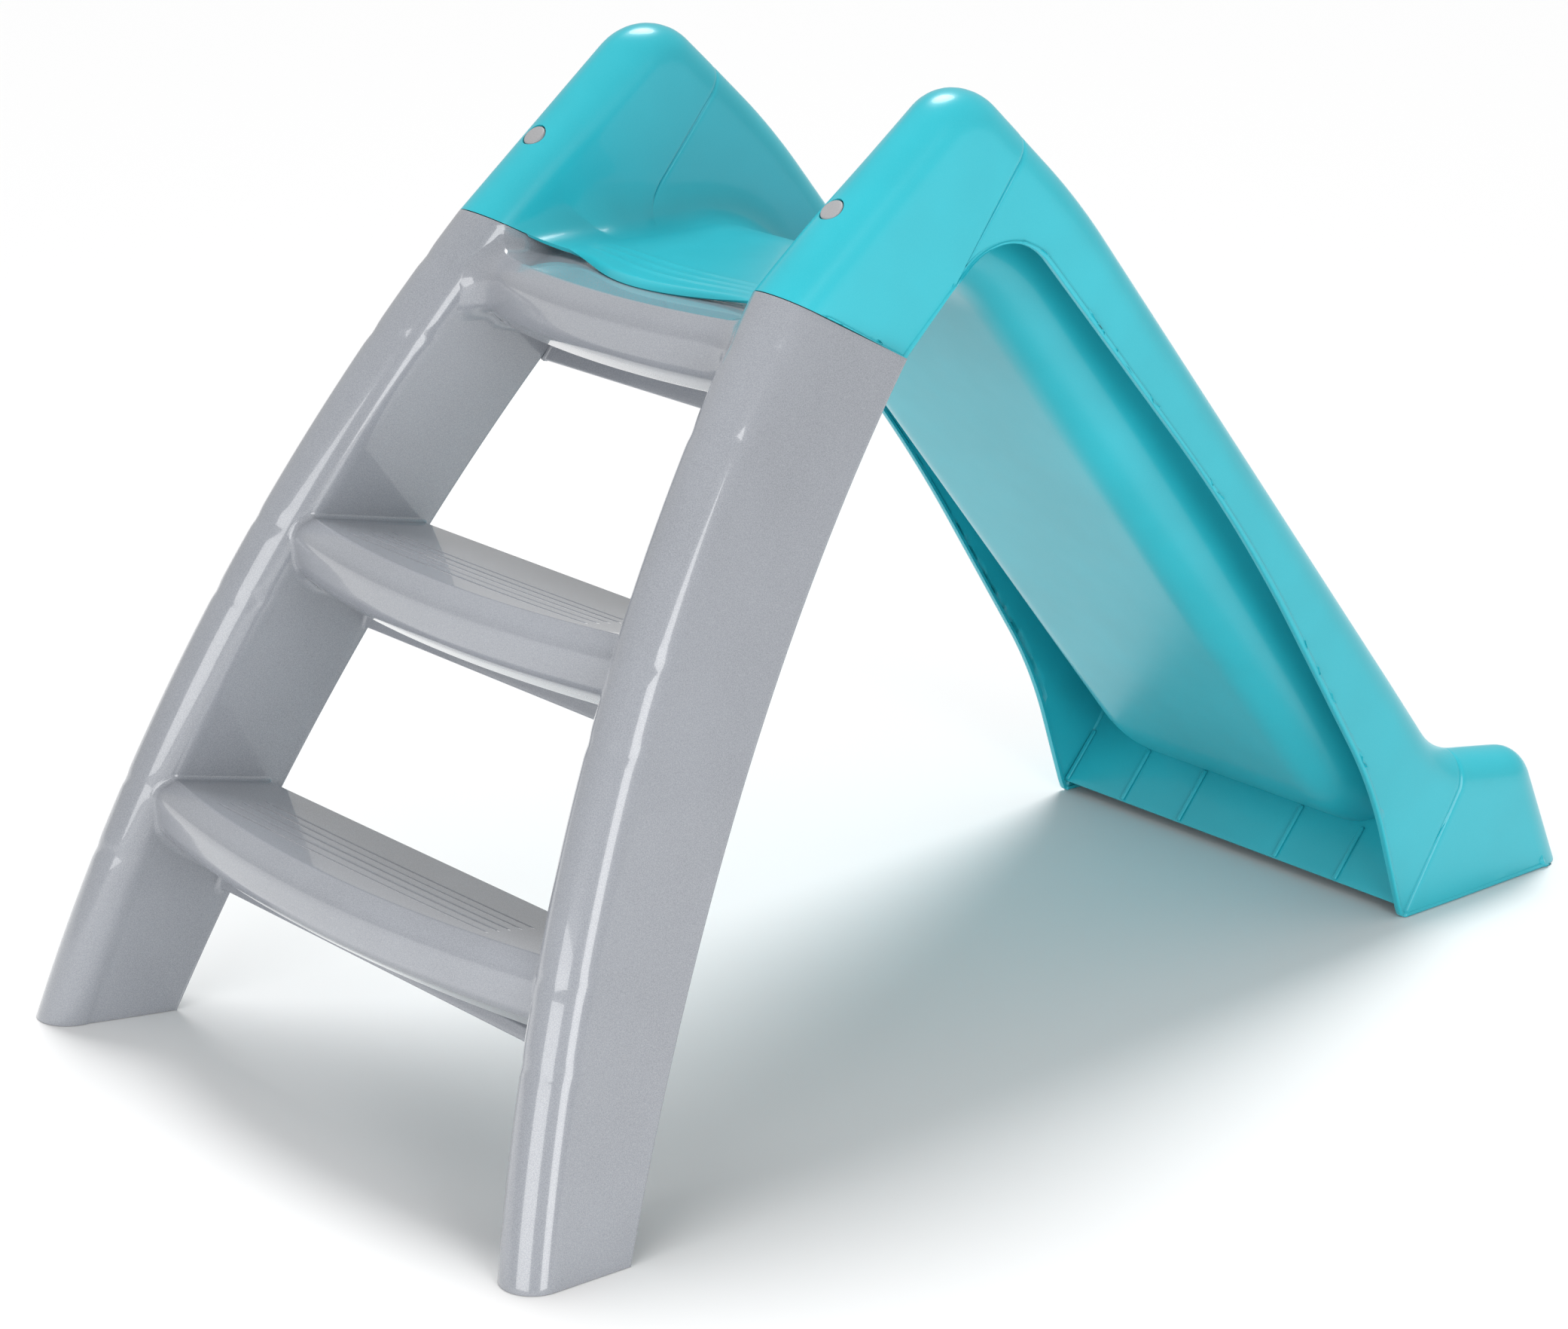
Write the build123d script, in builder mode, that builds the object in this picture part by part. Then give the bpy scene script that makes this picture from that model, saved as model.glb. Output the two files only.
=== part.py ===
"""Toddler slide: a three-step ladder and a plug-on chute, held together by two snap buttons.

Millimetres. X is the width, -Y the climbing side, +Y the run-out, +Z up.
The origin is on the floor, at the middle of the footprint.
Both big pieces are thin-wall mouldings. Each is kept here as the regions it is made of.
"""
import os
from math import cos, radians, sin, tan

from build123d import *

os.makedirs("parts", exist_ok=True)

# ---------------------------------------------------------------- driving dimensions
WALL = 3.0  # wall of both mouldings
GAP = 0.8  # seam and sleeve clearance between ladder and chute

# ladder rails: a D-section channel, open at the back, on a circular arc in a leaning plane
RAIL_LEAN = 12.04  # degrees that each rail leans in towards the top
RAIL_FOOT_X = 314.5  # centre of the rounded front at the floor
RAIL_FOOT_Y = -588.0
RAIL_BOW = 1620.0  # radius of the rail's forward bow
RAIL_SLOPE = 74.7  # slope at the floor
FOOT_RADIUS = 26.0  # rounded front of the channel
NECK_RADIUS = 29.5
FOOT_DEPTH = 63.0  # from the centre of the front to the open back
NECK_DEPTH = 93.0
FOOT_FLARE = 20.0  # how much wider the inner side is at the back
NECK_FLARE = 5.0

# steps, each a hollow moulding open at the back
STEP_RISE = 204.0
TREAD_SLOPE = 11.5  # falls towards the back
NOSE_BOW = 34.0  # the middle of the nosing stands this much further forward
GROOVES = 5
GROOVE_PITCH = 10.3
GROOVE_SIZE = 1.4
TOP_STEP_Z = 604.0

# seam between the ladder and the chute, seen from the side
SEAM_Y, SEAM_Z = -163.0, 571.5
SEAM_SLOPE = 29.0

# chute, seen from the side
SHOULDER_SLOPE = 39.4  # the chute lifts off along this slope
CHUTE_SLOPE = 51.35
INNER_X = 153.0  # clear half width of the trough
OUTER_X = 213.0  # outer face of the skirts
CAP_RADIUS = 29.0
CAP_BAND = 32.0  # height of the handrail cap
BED_DEPTH = 87.0  # underside of the bed below the top of the handrail
BED_CORNER = 45.0
PLATFORM_Z = 606.0
RUN_OUT_Z = 44.0  # underside of the run-out
LENGTH_HALF = 615.0

# snap buttons
BUTTON_RADIUS = 9.4
BUTTON_HOLE = 10.6
BUTTON_X = 182.0
BUTTON_Y = -212.0
BLADE_LENGTH = 55.0
BLADE_WIDTH = 15.0
NECK_LENGTH = 112.0  # how far the ladder reaches up into each shoulder
NECK_DEPTH_IN = 88.0

# named points of the side view, as (y, z)
FRONT_LOW = (-281.0, 630.0)
APEX = (-98.7, 779.7)
BEND = (21.2, 668.0)
DIP = (451.0, 130.4)
LIP = (563.6, 111.4)
TOE = (LENGTH_HALF, 0.0)
ARCH_FOOT = (-168.0, 559.8)
ARCH = (-65.8, 672.4)
SKIRT_BEND = (190.0, 380.0)
SKIRT_DROP = (353.7, 124.2)
HEEL = (391.0, 0.0)
CREASE_TOP = (-47.0, 724.0)
CREASE_SLOPE = 55.7
FOLD_TOP = (470.0, 124.5)
FOLD_SLOPE = 59.0

FAR = 900.0  # longer than anything that it cuts
EXPONENT = 2.5  # how fast the rails deepen above the floor
NECK_SLOPE = 48.5  # slope of the rail where it reaches full size
PAST_BACK = 12.0  # how far a void runs out through an open back

# steps, seen from the side
STEP_BACK = 190.0  # section drawn this far behind the crease, then cut to the rails
NOSE_OUT = 14.0  # how far the nosing bulges past the crease
NOSE_MID = 31.0  # depth of that bulge below the crease
NOSE_LOW = 62.0  # bottom of the nosing
NOSE_IN = 6.0  # how far the bottom of the nosing is set back
STEP_TALL = 78.0  # underside below the crease
LIP_TALL = 25.0  # height of the band along the open back
BAND_TOP_IN = 5.0
BAND_LOW_IN = 3.0
GROOVE_BACK = 8.0  # first groove in front of the crease ends
GROOVE_SHARE = 0.62  # share of the step's reach that the grooves cover


def side_plane(x):
    """A sketch plane seen from the side: local x is +Y, local y is +Z."""
    return Plane(origin=(x, 0, 0), x_dir=(0, 1, 0), z_dir=(1, 0, 0))


def save(node, name):
    node.part.label = name
    export_step(node.part, f"parts/{name}.step")


def along(point, slope, distance):
    """The point a distance further up a slope in the side view."""
    return (
        point[0] + distance * cos(radians(slope)),
        point[1] + distance * sin(radians(slope)),
    )


def half_space(point, slope, front):
    """Everything in front of (or behind) a sloping line of the side view."""
    turn = 1 if front else -1
    low = along(point, slope, -FAR * 2)
    high = along(point, slope, FAR * 2)
    step = (-turn * FAR * 2 * sin(radians(slope)), turn * FAR * 2 * cos(radians(slope)))
    with BuildPart() as block:
        with BuildSketch(side_plane(-FAR / 2)):
            with BuildLine():
                Polyline(
                    low,
                    high,
                    (high[0] + step[0], high[1] + step[1]),
                    (low[0] + step[0], low[1] + step[1]),
                    close=True,
                )
            make_face()
        extrude(amount=FAR)
    return block.part


# ---------------------------------------------------------------- ladder rails
def rail_height(slope):
    """Height along the leaning plane where the rail has this slope."""
    return RAIL_BOW * (cos(radians(slope)) - cos(radians(RAIL_SLOPE)))


def rail_share(slope):
    """0 at the floor, 1 where the rail reaches its full size."""
    return min(max(rail_height(slope) / rail_height(NECK_SLOPE), 0.0), 1.0)


def rail_depth(share):
    """From the centre of the round front to the open back."""
    return NECK_DEPTH - (NECK_DEPTH - FOOT_DEPTH) * (1 - share) ** EXPONENT


def rail_plane(slope):
    """Section plane of the right rail: local x is inward, local y is to the front."""
    up = rail_height(slope)
    y = RAIL_FOOT_Y + RAIL_BOW * (sin(radians(RAIL_SLOPE)) - sin(radians(slope)))
    lean = radians(RAIL_LEAN)
    tangent = Vector(
        -sin(lean) * sin(radians(slope)), cos(radians(slope)), cos(lean) * sin(radians(slope))
    )
    return Plane(
        origin=(RAIL_FOOT_X - up * sin(lean), y, up * cos(lean)),
        x_dir=(-cos(lean), 0, -sin(lean)),
        z_dir=tangent,
    )


def rail_section(slope, inset, past):
    """D section: a round front, a straight outer side and an inner side that flares back."""
    share = rail_share(slope)
    radius = FOOT_RADIUS + (NECK_RADIUS - FOOT_RADIUS) * share - inset
    depth = rail_depth(share) + past
    flare = FOOT_FLARE + (NECK_FLARE - FOOT_FLARE) * share
    with BuildSketch(rail_plane(slope)) as section:
        with BuildLine():
            ThreePointArc((-radius, 0), (0, radius), (radius, 0))
            Polyline((radius, 0), (radius + flare, -depth), (-radius, -depth), (-radius, 0))
        make_face()
    return section.sketch


RAIL_STATIONS = [77.5, 73.0, 68.5, 64.0, 59.5, 55.0, 50.5, 46.0]

with BuildPart() as rail_outer:
    loft([rail_section(slope, 0, 0) for slope in RAIL_STATIONS])

with BuildPart() as rail_void:
    loft([rail_section(slope, WALL, PAST_BACK) for slope in RAIL_STATIONS])

below_floor = Pos(0, 0, -FAR / 2) * Box(4 * FAR, 4 * FAR, FAR, mode=Mode.PRIVATE)
above_seam = half_space((SEAM_Y, SEAM_Z), -SEAM_SLOPE, True)
above_cap = half_space(
    (SEAM_Y, SEAM_Z - WALL / cos(radians(SEAM_SLOPE))), -SEAM_SLOPE, True
)

with BuildPart() as rail:
    add(rail_outer.part)
    add(rail_void.part - above_cap, mode=Mode.SUBTRACT)
    add(below_floor, mode=Mode.SUBTRACT)
    add(above_seam, mode=Mode.SUBTRACT)

for side in ("right", "left"):
    with BuildPart() as side_rail:
        add(rail.part if side == "right" else mirror(rail.part, about=Plane.YZ, mode=Mode.PRIVATE))
    save(side_rail, f"{side}_rail")


# ---------------------------------------------------------------- steps
def rear_point(slope):
    """Where the open back of the rails lies, in the side view."""
    back = rail_depth(rail_share(slope))
    corner = rail_plane(slope).from_local_coords(Vector(0, -back, 0))
    return corner.Y, corner.Z


def rear_y(z):
    """The open back of the rails at a height."""
    low, high = RAIL_STATIONS[-1], RAIL_STATIONS[0]
    for _ in range(40):
        middle = (low + high) / 2
        if rear_point(middle)[1] > z:
            low = middle
        else:
            high = middle
    return rear_point(low)[0]


with BuildPart() as behind_rails:
    with BuildSketch(side_plane(-FAR / 2)):
        with BuildLine():
            back = Spline(*[rear_point(slope) for slope in RAIL_STATIONS])
            Polyline(back @ 1, (FAR, FAR), (FAR, -FAR), back @ 0)
        make_face()
    extrude(amount=FAR)


def step_section(x, reach, crease_y, crease_z, inset):
    """Side view of a step at one place across its width."""
    bow = NOSE_BOW * (1 - (x / reach) ** 2)
    fall = tan(radians(TREAD_SLOPE))
    crease = (crease_y - bow + inset, crease_z - inset)
    back_y = crease_y + STEP_BACK
    sill_z = crease_z - STEP_TALL
    under = sill_z + inset
    with BuildSketch(side_plane(x)) as section:
        with BuildLine():
            Polyline((back_y, crease[1] - fall * (back_y - crease[0])), crease)
            nose = ThreePointArc(
                crease,
                (crease_y - bow - NOSE_OUT + inset, crease_z - NOSE_MID),
                (crease_y - bow * 0.8 + NOSE_IN + inset, crease_z - NOSE_LOW + inset),
            )
            if inset:
                Polyline(nose @ 1, (rear_y(sill_z) - BAND_TOP_IN, under), (back_y, under))
                Line((back_y, under), (back_y, crease[1] - fall * (back_y - crease[0])))
            else:
                Polyline(
                    nose @ 1,
                    (rear_y(sill_z) - BAND_TOP_IN, sill_z),
                    (rear_y(sill_z - LIP_TALL) - BAND_LOW_IN, sill_z - LIP_TALL),
                    (back_y, sill_z - LIP_TALL),
                    (back_y, crease[1] - fall * (back_y - crease[0])),
                )
        make_face()
    return section.sketch


STEPS = {
    "lower_step": (275.0, -517.0, STEP_RISE),
    "middle_step": (238.0, -407.0, 2 * STEP_RISE),
    "top_step": (196.0, -252.0, TOP_STEP_Z),
}
ACROSS = [-1.0, -0.5, 0.0, 0.5, 1.0]

for name, (reach, crease_y, crease_z) in STEPS.items():
    with BuildPart() as step:
        loft([step_section(a * reach, reach, crease_y, crease_z, 0) for a in ACROSS])
        loft(
            [step_section(a * reach, reach, crease_y, crease_z, WALL) for a in ACROSS],
            mode=Mode.SUBTRACT,
        )
        add(behind_rails.part, mode=Mode.SUBTRACT)
        add(rail_outer.part, mode=Mode.SUBTRACT)
        add(mirror(rail_outer.part, about=Plane.YZ, mode=Mode.PRIVATE), mode=Mode.SUBTRACT)
        if name != "top_step":
            groove_plane = Plane(
                origin=(0, crease_y - GROOVE_BACK, crease_z + 1),
                x_dir=(1, 0, 0),
                z_dir=(0, sin(radians(TREAD_SLOPE)), cos(radians(TREAD_SLOPE))),
            )
            with BuildSketch(groove_plane):
                for number in range(GROOVES):
                    with Locations((0, number * GROOVE_PITCH)):
                        SlotOverall(2 * reach * GROOVE_SHARE, GROOVE_SIZE)
            extrude(amount=-2 * GROOVE_SIZE, mode=Mode.SUBTRACT)
    with BuildPart() as whole_step:
        add(step.part.solids().sort_by(SortBy.VOLUME)[-1])
    save(whole_step, name)


# ---------------------------------------------------------------- chute regions, side view
def crown_line(early):
    """Top line of the chute's sides, from under the seam over the peak to the toe."""
    return FilletPolyline(
        along(FRONT_LOW, SHOULDER_SLOPE, -150 - early),
        APEX,
        BEND,
        DIP,
        LIP,
        TOE,
        radius=[54, 600, 90, 42],
    )


def under_crown(depth, x0, x1, corner):
    """Everything a given depth below the crown line, between two places across the width."""
    with BuildPart() as block:
        with BuildSketch(side_plane(x0)):
            with BuildLine():
                top = crown_line(3 * depth)
                start, end = top @ 0, top @ 1
                floor = -120 - 2 * depth
                Polyline(end, (end.X + 40, floor), (start.X, floor), start)
            make_face()
            if depth:
                offset(amount=-depth, kind=Kind.INTERSECTION)
        extrude(amount=x1 - x0)
        if corner:
            ends = block.faces().filter_by(Axis.X)
            rims = [
                edge
                for face in ends
                for edge in face.edges()
                if edge.center().Z > 5 and edge.center().Y > start.X + depth + 1
            ]
            fillet(rims, radius=corner)
    return block.part


def above_skirt(x0, x1):
    """Everything above the lower edge of the skirts."""
    with BuildPart() as block:
        with BuildSketch(side_plane(x0)):
            with BuildLine():
                edge = FilletPolyline(
                    along(ARCH_FOOT, 47.8, -200),
                    ARCH,
                    SKIRT_BEND,
                    SKIRT_DROP,
                    HEEL,
                    (FAR, 0),
                    radius=[58, 1500, 400, 12],
                )
                Polyline(edge @ 1, (FAR, FAR), ((edge @ 0).X, FAR), edge @ 0)
            make_face()
        extrude(amount=x1 - x0)
    return block.part


def above_bed(lift, half, corner):
    """Everything above the underside of the bed, with the trough's rounded corners."""
    with BuildPart() as block:
        with BuildSketch(side_plane(-half)):
            with BuildLine():
                bed = FilletPolyline(
                    (-400, PLATFORM_Z),
                    (-40.4, PLATFORM_Z),
                    (409.1, RUN_OUT_Z),
                    (640, RUN_OUT_Z - 2),
                    radius=[110, 150],
                )
                Polyline(bed @ 1, (640, FAR), (-400, FAR), bed @ 0)
            make_face()
            if lift:
                offset(amount=-lift, kind=Kind.INTERSECTION)
        extrude(amount=2 * half)
        rims = [
            edge
            for face in block.faces().filter_by(Axis.X)
            for edge in face.edges()
            if edge.center().Z < 700 and -390 < edge.center().Y < 630
        ]
        fillet(rims, radius=corner)
    return block.part


before_crease = half_space(CREASE_TOP, CREASE_SLOPE, True)
after_crease = half_space(CREASE_TOP, CREASE_SLOPE, False)
before_fold = half_space(FOLD_TOP, FOLD_SLOPE, True)
after_fold = half_space(FOLD_TOP, FOLD_SLOPE, False)
over_seam = half_space(along((SEAM_Y, SEAM_Z), 90 - SEAM_SLOPE, GAP), -SEAM_SLOPE, True)

skirt_region = above_skirt(INNER_X + 30, OUTER_X + 5)
cap_core = under_crown(CAP_BAND, -FAR / 2, FAR / 2, 0)

# the double side wall: a hollow slab with a half-round top
with BuildPart() as side_shell:
    add(under_crown(0, INNER_X, OUTER_X, CAP_RADIUS))
    add(under_crown(WALL, INNER_X + WALL, OUTER_X - WALL, CAP_RADIUS - WALL), mode=Mode.SUBTRACT)
    add(below_floor, mode=Mode.SUBTRACT)

with BuildPart() as long_trough:
    add(above_bed(0, INNER_X + WALL, BED_CORNER))
    add(above_bed(WALL, INNER_X, BED_CORNER - WALL), mode=Mode.SUBTRACT)

with BuildPart() as trough:
    add(long_trough.part)
    add(cap_core, mode=Mode.INTERSECT)


def block(x0, x1, y0, y1, z0, z1):
    middle = Pos((x0 + x1) / 2, (y0 + y1) / 2, (z0 + z1) / 2)
    return middle * Box(x1 - x0, y1 - y0, z1 - z0, mode=Mode.PRIVATE)


def save_pair(right_part, name):
    """Write a right-hand piece and its mirror image."""
    for side in ("right", "left"):
        with BuildPart() as piece:
            if side == "right":
                add(right_part)
            else:
                add(mirror(right_part, about=Plane.YZ, mode=Mode.PRIVATE))
        save(piece, f"{side}_{name}")


MID_X = (INNER_X + OUTER_X) / 2
button_z = FRONT_LOW[1] + (BUTTON_Y - FRONT_LOW[0]) * tan(radians(SHOULDER_SLOPE))
button_plane = Plane(
    origin=(BUTTON_X, BUTTON_Y, button_z),
    x_dir=(1, 0, 0),
    z_dir=(0, -sin(radians(SHOULDER_SLOPE)), cos(radians(SHOULDER_SLOPE))),
)

# ---------------------------------------------------------------- shoulders
with BuildPart() as shoulder:
    add(side_shell.part)
    add(before_crease, mode=Mode.INTERSECT)
    add(over_seam, mode=Mode.INTERSECT)
    add(above_skirt(INNER_X - 5, OUTER_X + 5), mode=Mode.INTERSECT)
    add(block(INNER_X - 5, MID_X, -260, 0, 0, PLATFORM_Z), mode=Mode.SUBTRACT)
    with BuildSketch(button_plane.offset(5)):
        Circle(BUTTON_HOLE)
    extrude(amount=-14, mode=Mode.SUBTRACT)
save_pair(shoulder.part, "shoulder")

# ---------------------------------------------------------------- handrails and skirts
with BuildPart() as handrail:
    add(side_shell.part)
    add(after_crease, mode=Mode.INTERSECT)
    add(before_fold, mode=Mode.INTERSECT)
    add(cap_core, mode=Mode.SUBTRACT)
save_pair(handrail.part, "handrail")

with BuildPart() as skirt:
    add(side_shell.part)
    add(after_crease, mode=Mode.INTERSECT)
    add(before_fold, mode=Mode.INTERSECT)
    add(cap_core, mode=Mode.INTERSECT)
    add(skirt_region, mode=Mode.INTERSECT)
save_pair(skirt.part, "skirt")

# ---------------------------------------------------------------- run-out
with BuildPart() as run_out_side:
    add(side_shell.part)
    add(after_fold, mode=Mode.INTERSECT)
    add(trough.part, mode=Mode.SUBTRACT)
    add(block(INNER_X - 5, MID_X, 300, LIP[0] - 30, -10, RUN_OUT_Z + 34), mode=Mode.SUBTRACT)
save_pair(run_out_side.part, "run_out_side")

with BuildPart() as slide_bed:
    add(trough.part)
    add(after_crease, mode=Mode.INTERSECT)
    add(before_fold, mode=Mode.INTERSECT)
save(slide_bed, "slide_bed")

with BuildPart() as run_out_bed:
    add(trough.part)
    add(after_fold, mode=Mode.INTERSECT)
save(run_out_bed, "run_out_bed")

LIP_BACK = 540.0  # the front lip starts here
LIP_TOP = 12.0  # and stops this far above the underside of the run-out
with BuildPart() as sill:
    add(long_trough.part)
    add(cap_core, mode=Mode.SUBTRACT)
    add(under_crown(WALL / 2, -FAR, FAR, 0), mode=Mode.INTERSECT)
    add(block(-INNER_X, INNER_X, LIP_BACK, FAR, 0, RUN_OUT_Z + LIP_TOP), mode=Mode.INTERSECT)

with BuildPart() as front_lip:
    add(under_crown(0, -INNER_X, INNER_X, 0))
    add(under_crown(WALL, -FAR, FAR, 0), mode=Mode.SUBTRACT)
    add(block(-FAR, FAR, LIP_BACK, FAR, 0, RUN_OUT_Z + LIP_TOP), mode=Mode.INTERSECT)
    add(sill.part)
save(front_lip, "front_lip")

# ---------------------------------------------------------------- rear apron with its ribs
APRON_LOW = (395.0, 11.0)
APRON_SLOPE = 50.0
RIBS = (-205.0, -135.0, -60.0, 60.0, 135.0, 205.0)
apron_high = along(APRON_LOW, APRON_SLOPE, 84)

with BuildPart() as apron:
    with BuildSketch(side_plane(-OUTER_X + WALL)):
        with BuildLine():
            Polyline(
                APRON_LOW,
                apron_high,
                along(apron_high, APRON_SLOPE - 90, WALL),
                along(APRON_LOW, APRON_SLOPE - 90, WALL),
                close=True,
            )
        make_face()
    extrude(amount=2 * (OUTER_X - WALL))
    for x in RIBS:
        with BuildSketch(side_plane(x - 2)):
            with BuildLine():
                Polyline(
                    APRON_LOW,
                    apron_high,
                    along(apron_high, APRON_SLOPE + 90, 2),
                    along(APRON_LOW, APRON_SLOPE + 90, 2),
                    close=True,
                )
            make_face()
        extrude(amount=4)
    add(above_bed(0, INNER_X + WALL, BED_CORNER), mode=Mode.SUBTRACT)
    add(under_crown(WALL, -OUTER_X + WALL, OUTER_X - WALL, 0), mode=Mode.INTERSECT)
with BuildPart() as rear_apron:
    add(apron.part.solids().sort_by(SortBy.VOLUME)[-1])
save(rear_apron, "rear_apron")

# ---------------------------------------------------------------- entry platform
with BuildPart() as entry_platform:
    with BuildSketch(Plane.XY.offset(PLATFORM_Z)):
        with BuildLine():
            ThreePointArc((-146, -226), (0, -250), (146, -226))
            Polyline((146, -226), (146, -205), (INNER_X, -195), (INNER_X, 0))
            Polyline((INNER_X, 0), (-INNER_X, 0), (-INNER_X, -195), (-146, -205), (-146, -226))
        make_face()
    extrude(amount=WALL)
    add(before_crease, mode=Mode.INTERSECT)
save(entry_platform, "entry_platform")

# ---------------------------------------------------------------- necks and snap buttons
CLEAR = 1.2
neck_end = half_space(along(FRONT_LOW, SHOULDER_SLOPE, NECK_LENGTH), SHOULDER_SLOPE + 90, True)
neck_void_end = half_space(
    along(FRONT_LOW, SHOULDER_SLOPE, NECK_LENGTH - WALL), SHOULDER_SLOPE + 90, True
)
neck_back = half_space(
    along(FRONT_LOW, SHOULDER_SLOPE - 90, NECK_DEPTH_IN), SHOULDER_SLOPE, True
)
x0, x1 = INNER_X + WALL + CLEAR, OUTER_X - WALL - CLEAR
with BuildPart() as neck:
    add(under_crown(WALL + CLEAR, x0, x1, CAP_RADIUS - WALL - CLEAR))
    add(neck_back, mode=Mode.INTERSECT)
    add(neck_end, mode=Mode.INTERSECT)
    add(above_seam, mode=Mode.INTERSECT)
    add(
        under_crown(2 * WALL + CLEAR, x0 + WALL, x1 - WALL, CAP_RADIUS - 2 * WALL - CLEAR)
        & neck_void_end,
        mode=Mode.SUBTRACT,
    )
    with BuildSketch(button_plane.offset(5)):
        Circle(BUTTON_HOLE)
    extrude(amount=-18, mode=Mode.SUBTRACT)
save_pair(neck.part, "neck")

BLADE_DEPTH = 2 * WALL + CLEAR + 2.0  # outer face of the blade, under the neck's wall
BLADE_THICK = 2.0
with BuildPart() as snap_button:
    with BuildSketch(button_plane.offset(-0.8)):
        Circle(BUTTON_RADIUS)
    extrude(amount=-(BLADE_DEPTH - 0.8))
    with BuildSketch(button_plane.offset(-BLADE_DEPTH)):
        with Locations((0, (BLADE_WIDTH / 2 - BLADE_LENGTH) / 2)):
            Rectangle(BLADE_WIDTH, BLADE_LENGTH + BLADE_WIDTH / 2)
    extrude(amount=-BLADE_THICK)
    with BuildSketch(button_plane.offset(-BLADE_DEPTH + 1.6)):
        with Locations((0, -BLADE_LENGTH + 2)):
            Rectangle(BLADE_WIDTH / 2, 4)
    extrude(amount=-1.6)
save_pair(snap_button.part, "snap_button")
root = button_plane.from_local_coords(Vector(0, -BLADE_LENGTH, -BLADE_DEPTH + 1.6))
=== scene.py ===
# %% [markdown]
# # A toddler slide in two mouldings
# The real slide is two big hollow plastic mouldings, a grey ladder and a turquoise chute. Two spring
# buttons lock them together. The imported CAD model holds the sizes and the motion. This lesson builds
# the visible skins around it: smooth shells with real wall thickness, fillets, grooves and ribs.

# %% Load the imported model
import math

import bpy
import numpy as np
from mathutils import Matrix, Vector


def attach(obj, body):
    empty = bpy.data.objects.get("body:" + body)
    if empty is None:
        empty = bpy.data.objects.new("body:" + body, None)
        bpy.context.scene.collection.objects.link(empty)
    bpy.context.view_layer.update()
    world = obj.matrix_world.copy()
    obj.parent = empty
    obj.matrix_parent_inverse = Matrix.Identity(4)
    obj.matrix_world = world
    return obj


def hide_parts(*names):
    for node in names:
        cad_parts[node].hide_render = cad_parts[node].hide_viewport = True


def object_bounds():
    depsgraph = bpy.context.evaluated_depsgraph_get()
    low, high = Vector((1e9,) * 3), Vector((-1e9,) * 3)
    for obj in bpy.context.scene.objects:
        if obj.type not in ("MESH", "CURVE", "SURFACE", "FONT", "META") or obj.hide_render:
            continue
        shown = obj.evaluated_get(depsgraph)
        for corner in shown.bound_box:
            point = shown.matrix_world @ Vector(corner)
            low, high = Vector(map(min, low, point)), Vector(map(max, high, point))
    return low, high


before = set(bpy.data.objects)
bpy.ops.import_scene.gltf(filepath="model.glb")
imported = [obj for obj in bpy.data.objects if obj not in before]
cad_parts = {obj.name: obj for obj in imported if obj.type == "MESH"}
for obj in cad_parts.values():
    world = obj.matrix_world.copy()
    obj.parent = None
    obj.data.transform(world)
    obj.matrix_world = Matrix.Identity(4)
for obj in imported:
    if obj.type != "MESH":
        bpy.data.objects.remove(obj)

cad_low, cad_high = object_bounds()
print("CAD box", [round(v, 3) for v in (*cad_low, *cad_high)])

# %% [markdown]
# Sizes are written in millimetres, because that is how a moulding is drawn, and turned into metres
# when a mesh is made. The few numbers here drive everything else: the ladder's lean and bow, the
# seam between the mouldings, and the chute's side view.

# %% Driving dimensions
WALL = 2.8
RAIL_LEAN = math.radians(12.04)
RAIL_BOW = 1620.0
RAIL_SLOPE = math.radians(74.7)
NECK_SLOPE = math.radians(48.5)
RAIL_FOOT = np.array([314.5, -588.0, 0.0])
FOOT_RADIUS, NECK_RADIUS = 26.0, 29.5
FOOT_DEPTH, NECK_DEPTH = 63.0, 93.0
FOOT_FLARE, NECK_FLARE = 20.0, 5.0
SEAM = np.array([-163.0, 571.5])
SEAM_SLOPE = math.radians(29.0)
SEAM_GAP = 0.8
SHOULDER_SLOPE = math.radians(39.4)
INNER_X, OUTER_X, TOE_X = 153.0, 213.0, 202.0
CAP_RADIUS = 29.0
PLATFORM_TOP = 609.0
RUN_OUT_TOP = 47.0
LENGTH_HALF = cad_high.y * 1000
print("half length", round(LENGTH_HALF, 1), "mm, top", round(cad_high.z * 1000, 1), "mm")

# %% [markdown]
# Every outline here is straight runs joined by round corners, as a mould maker draws it. This helper
# turns corners and radii into a finely stepped line that can be asked for the point at any length.

# %% Outlines of runs and arcs
def rounded(corners, radii, arc_steps=12):
    """Points along a line of straight runs joined by tangent arcs."""
    points = [np.array(corners[0], float)]
    for i, radius in enumerate(radii, start=1):
        here = np.array(corners[i], float)
        before = np.array(corners[i - 1], float) - here
        after = np.array(corners[i + 1], float) - here
        first, last = i == 1, i == len(radii)
        room = min(
            np.linalg.norm(before) * (1.0 if first else 0.5),
            np.linalg.norm(after) * (1.0 if last else 0.5),
        )
        before /= np.linalg.norm(before)
        after /= np.linalg.norm(after)
        half = math.acos(np.clip(before @ after, -1, 1)) / 2
        trim = min(radius / math.tan(half), 0.98 * room)
        radius = trim * math.tan(half)
        middle = here + (before + after) / np.linalg.norm(before + after) * radius / math.sin(half)
        start, end = here + before * trim - middle, here + after * trim - middle
        turn = math.pi - 2 * half
        side = 1.0 if start[0] * end[1] - start[1] * end[0] > 0 else -1.0
        for k in range(arc_steps + 1):
            angle = side * turn * k / arc_steps
            c, s = math.cos(angle), math.sin(angle)
            points.append(middle + np.array([c * start[0] - s * start[1], s * start[0] + c * start[1]]))
    points.append(np.array(corners[-1], float))
    return np.array(points)


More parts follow.
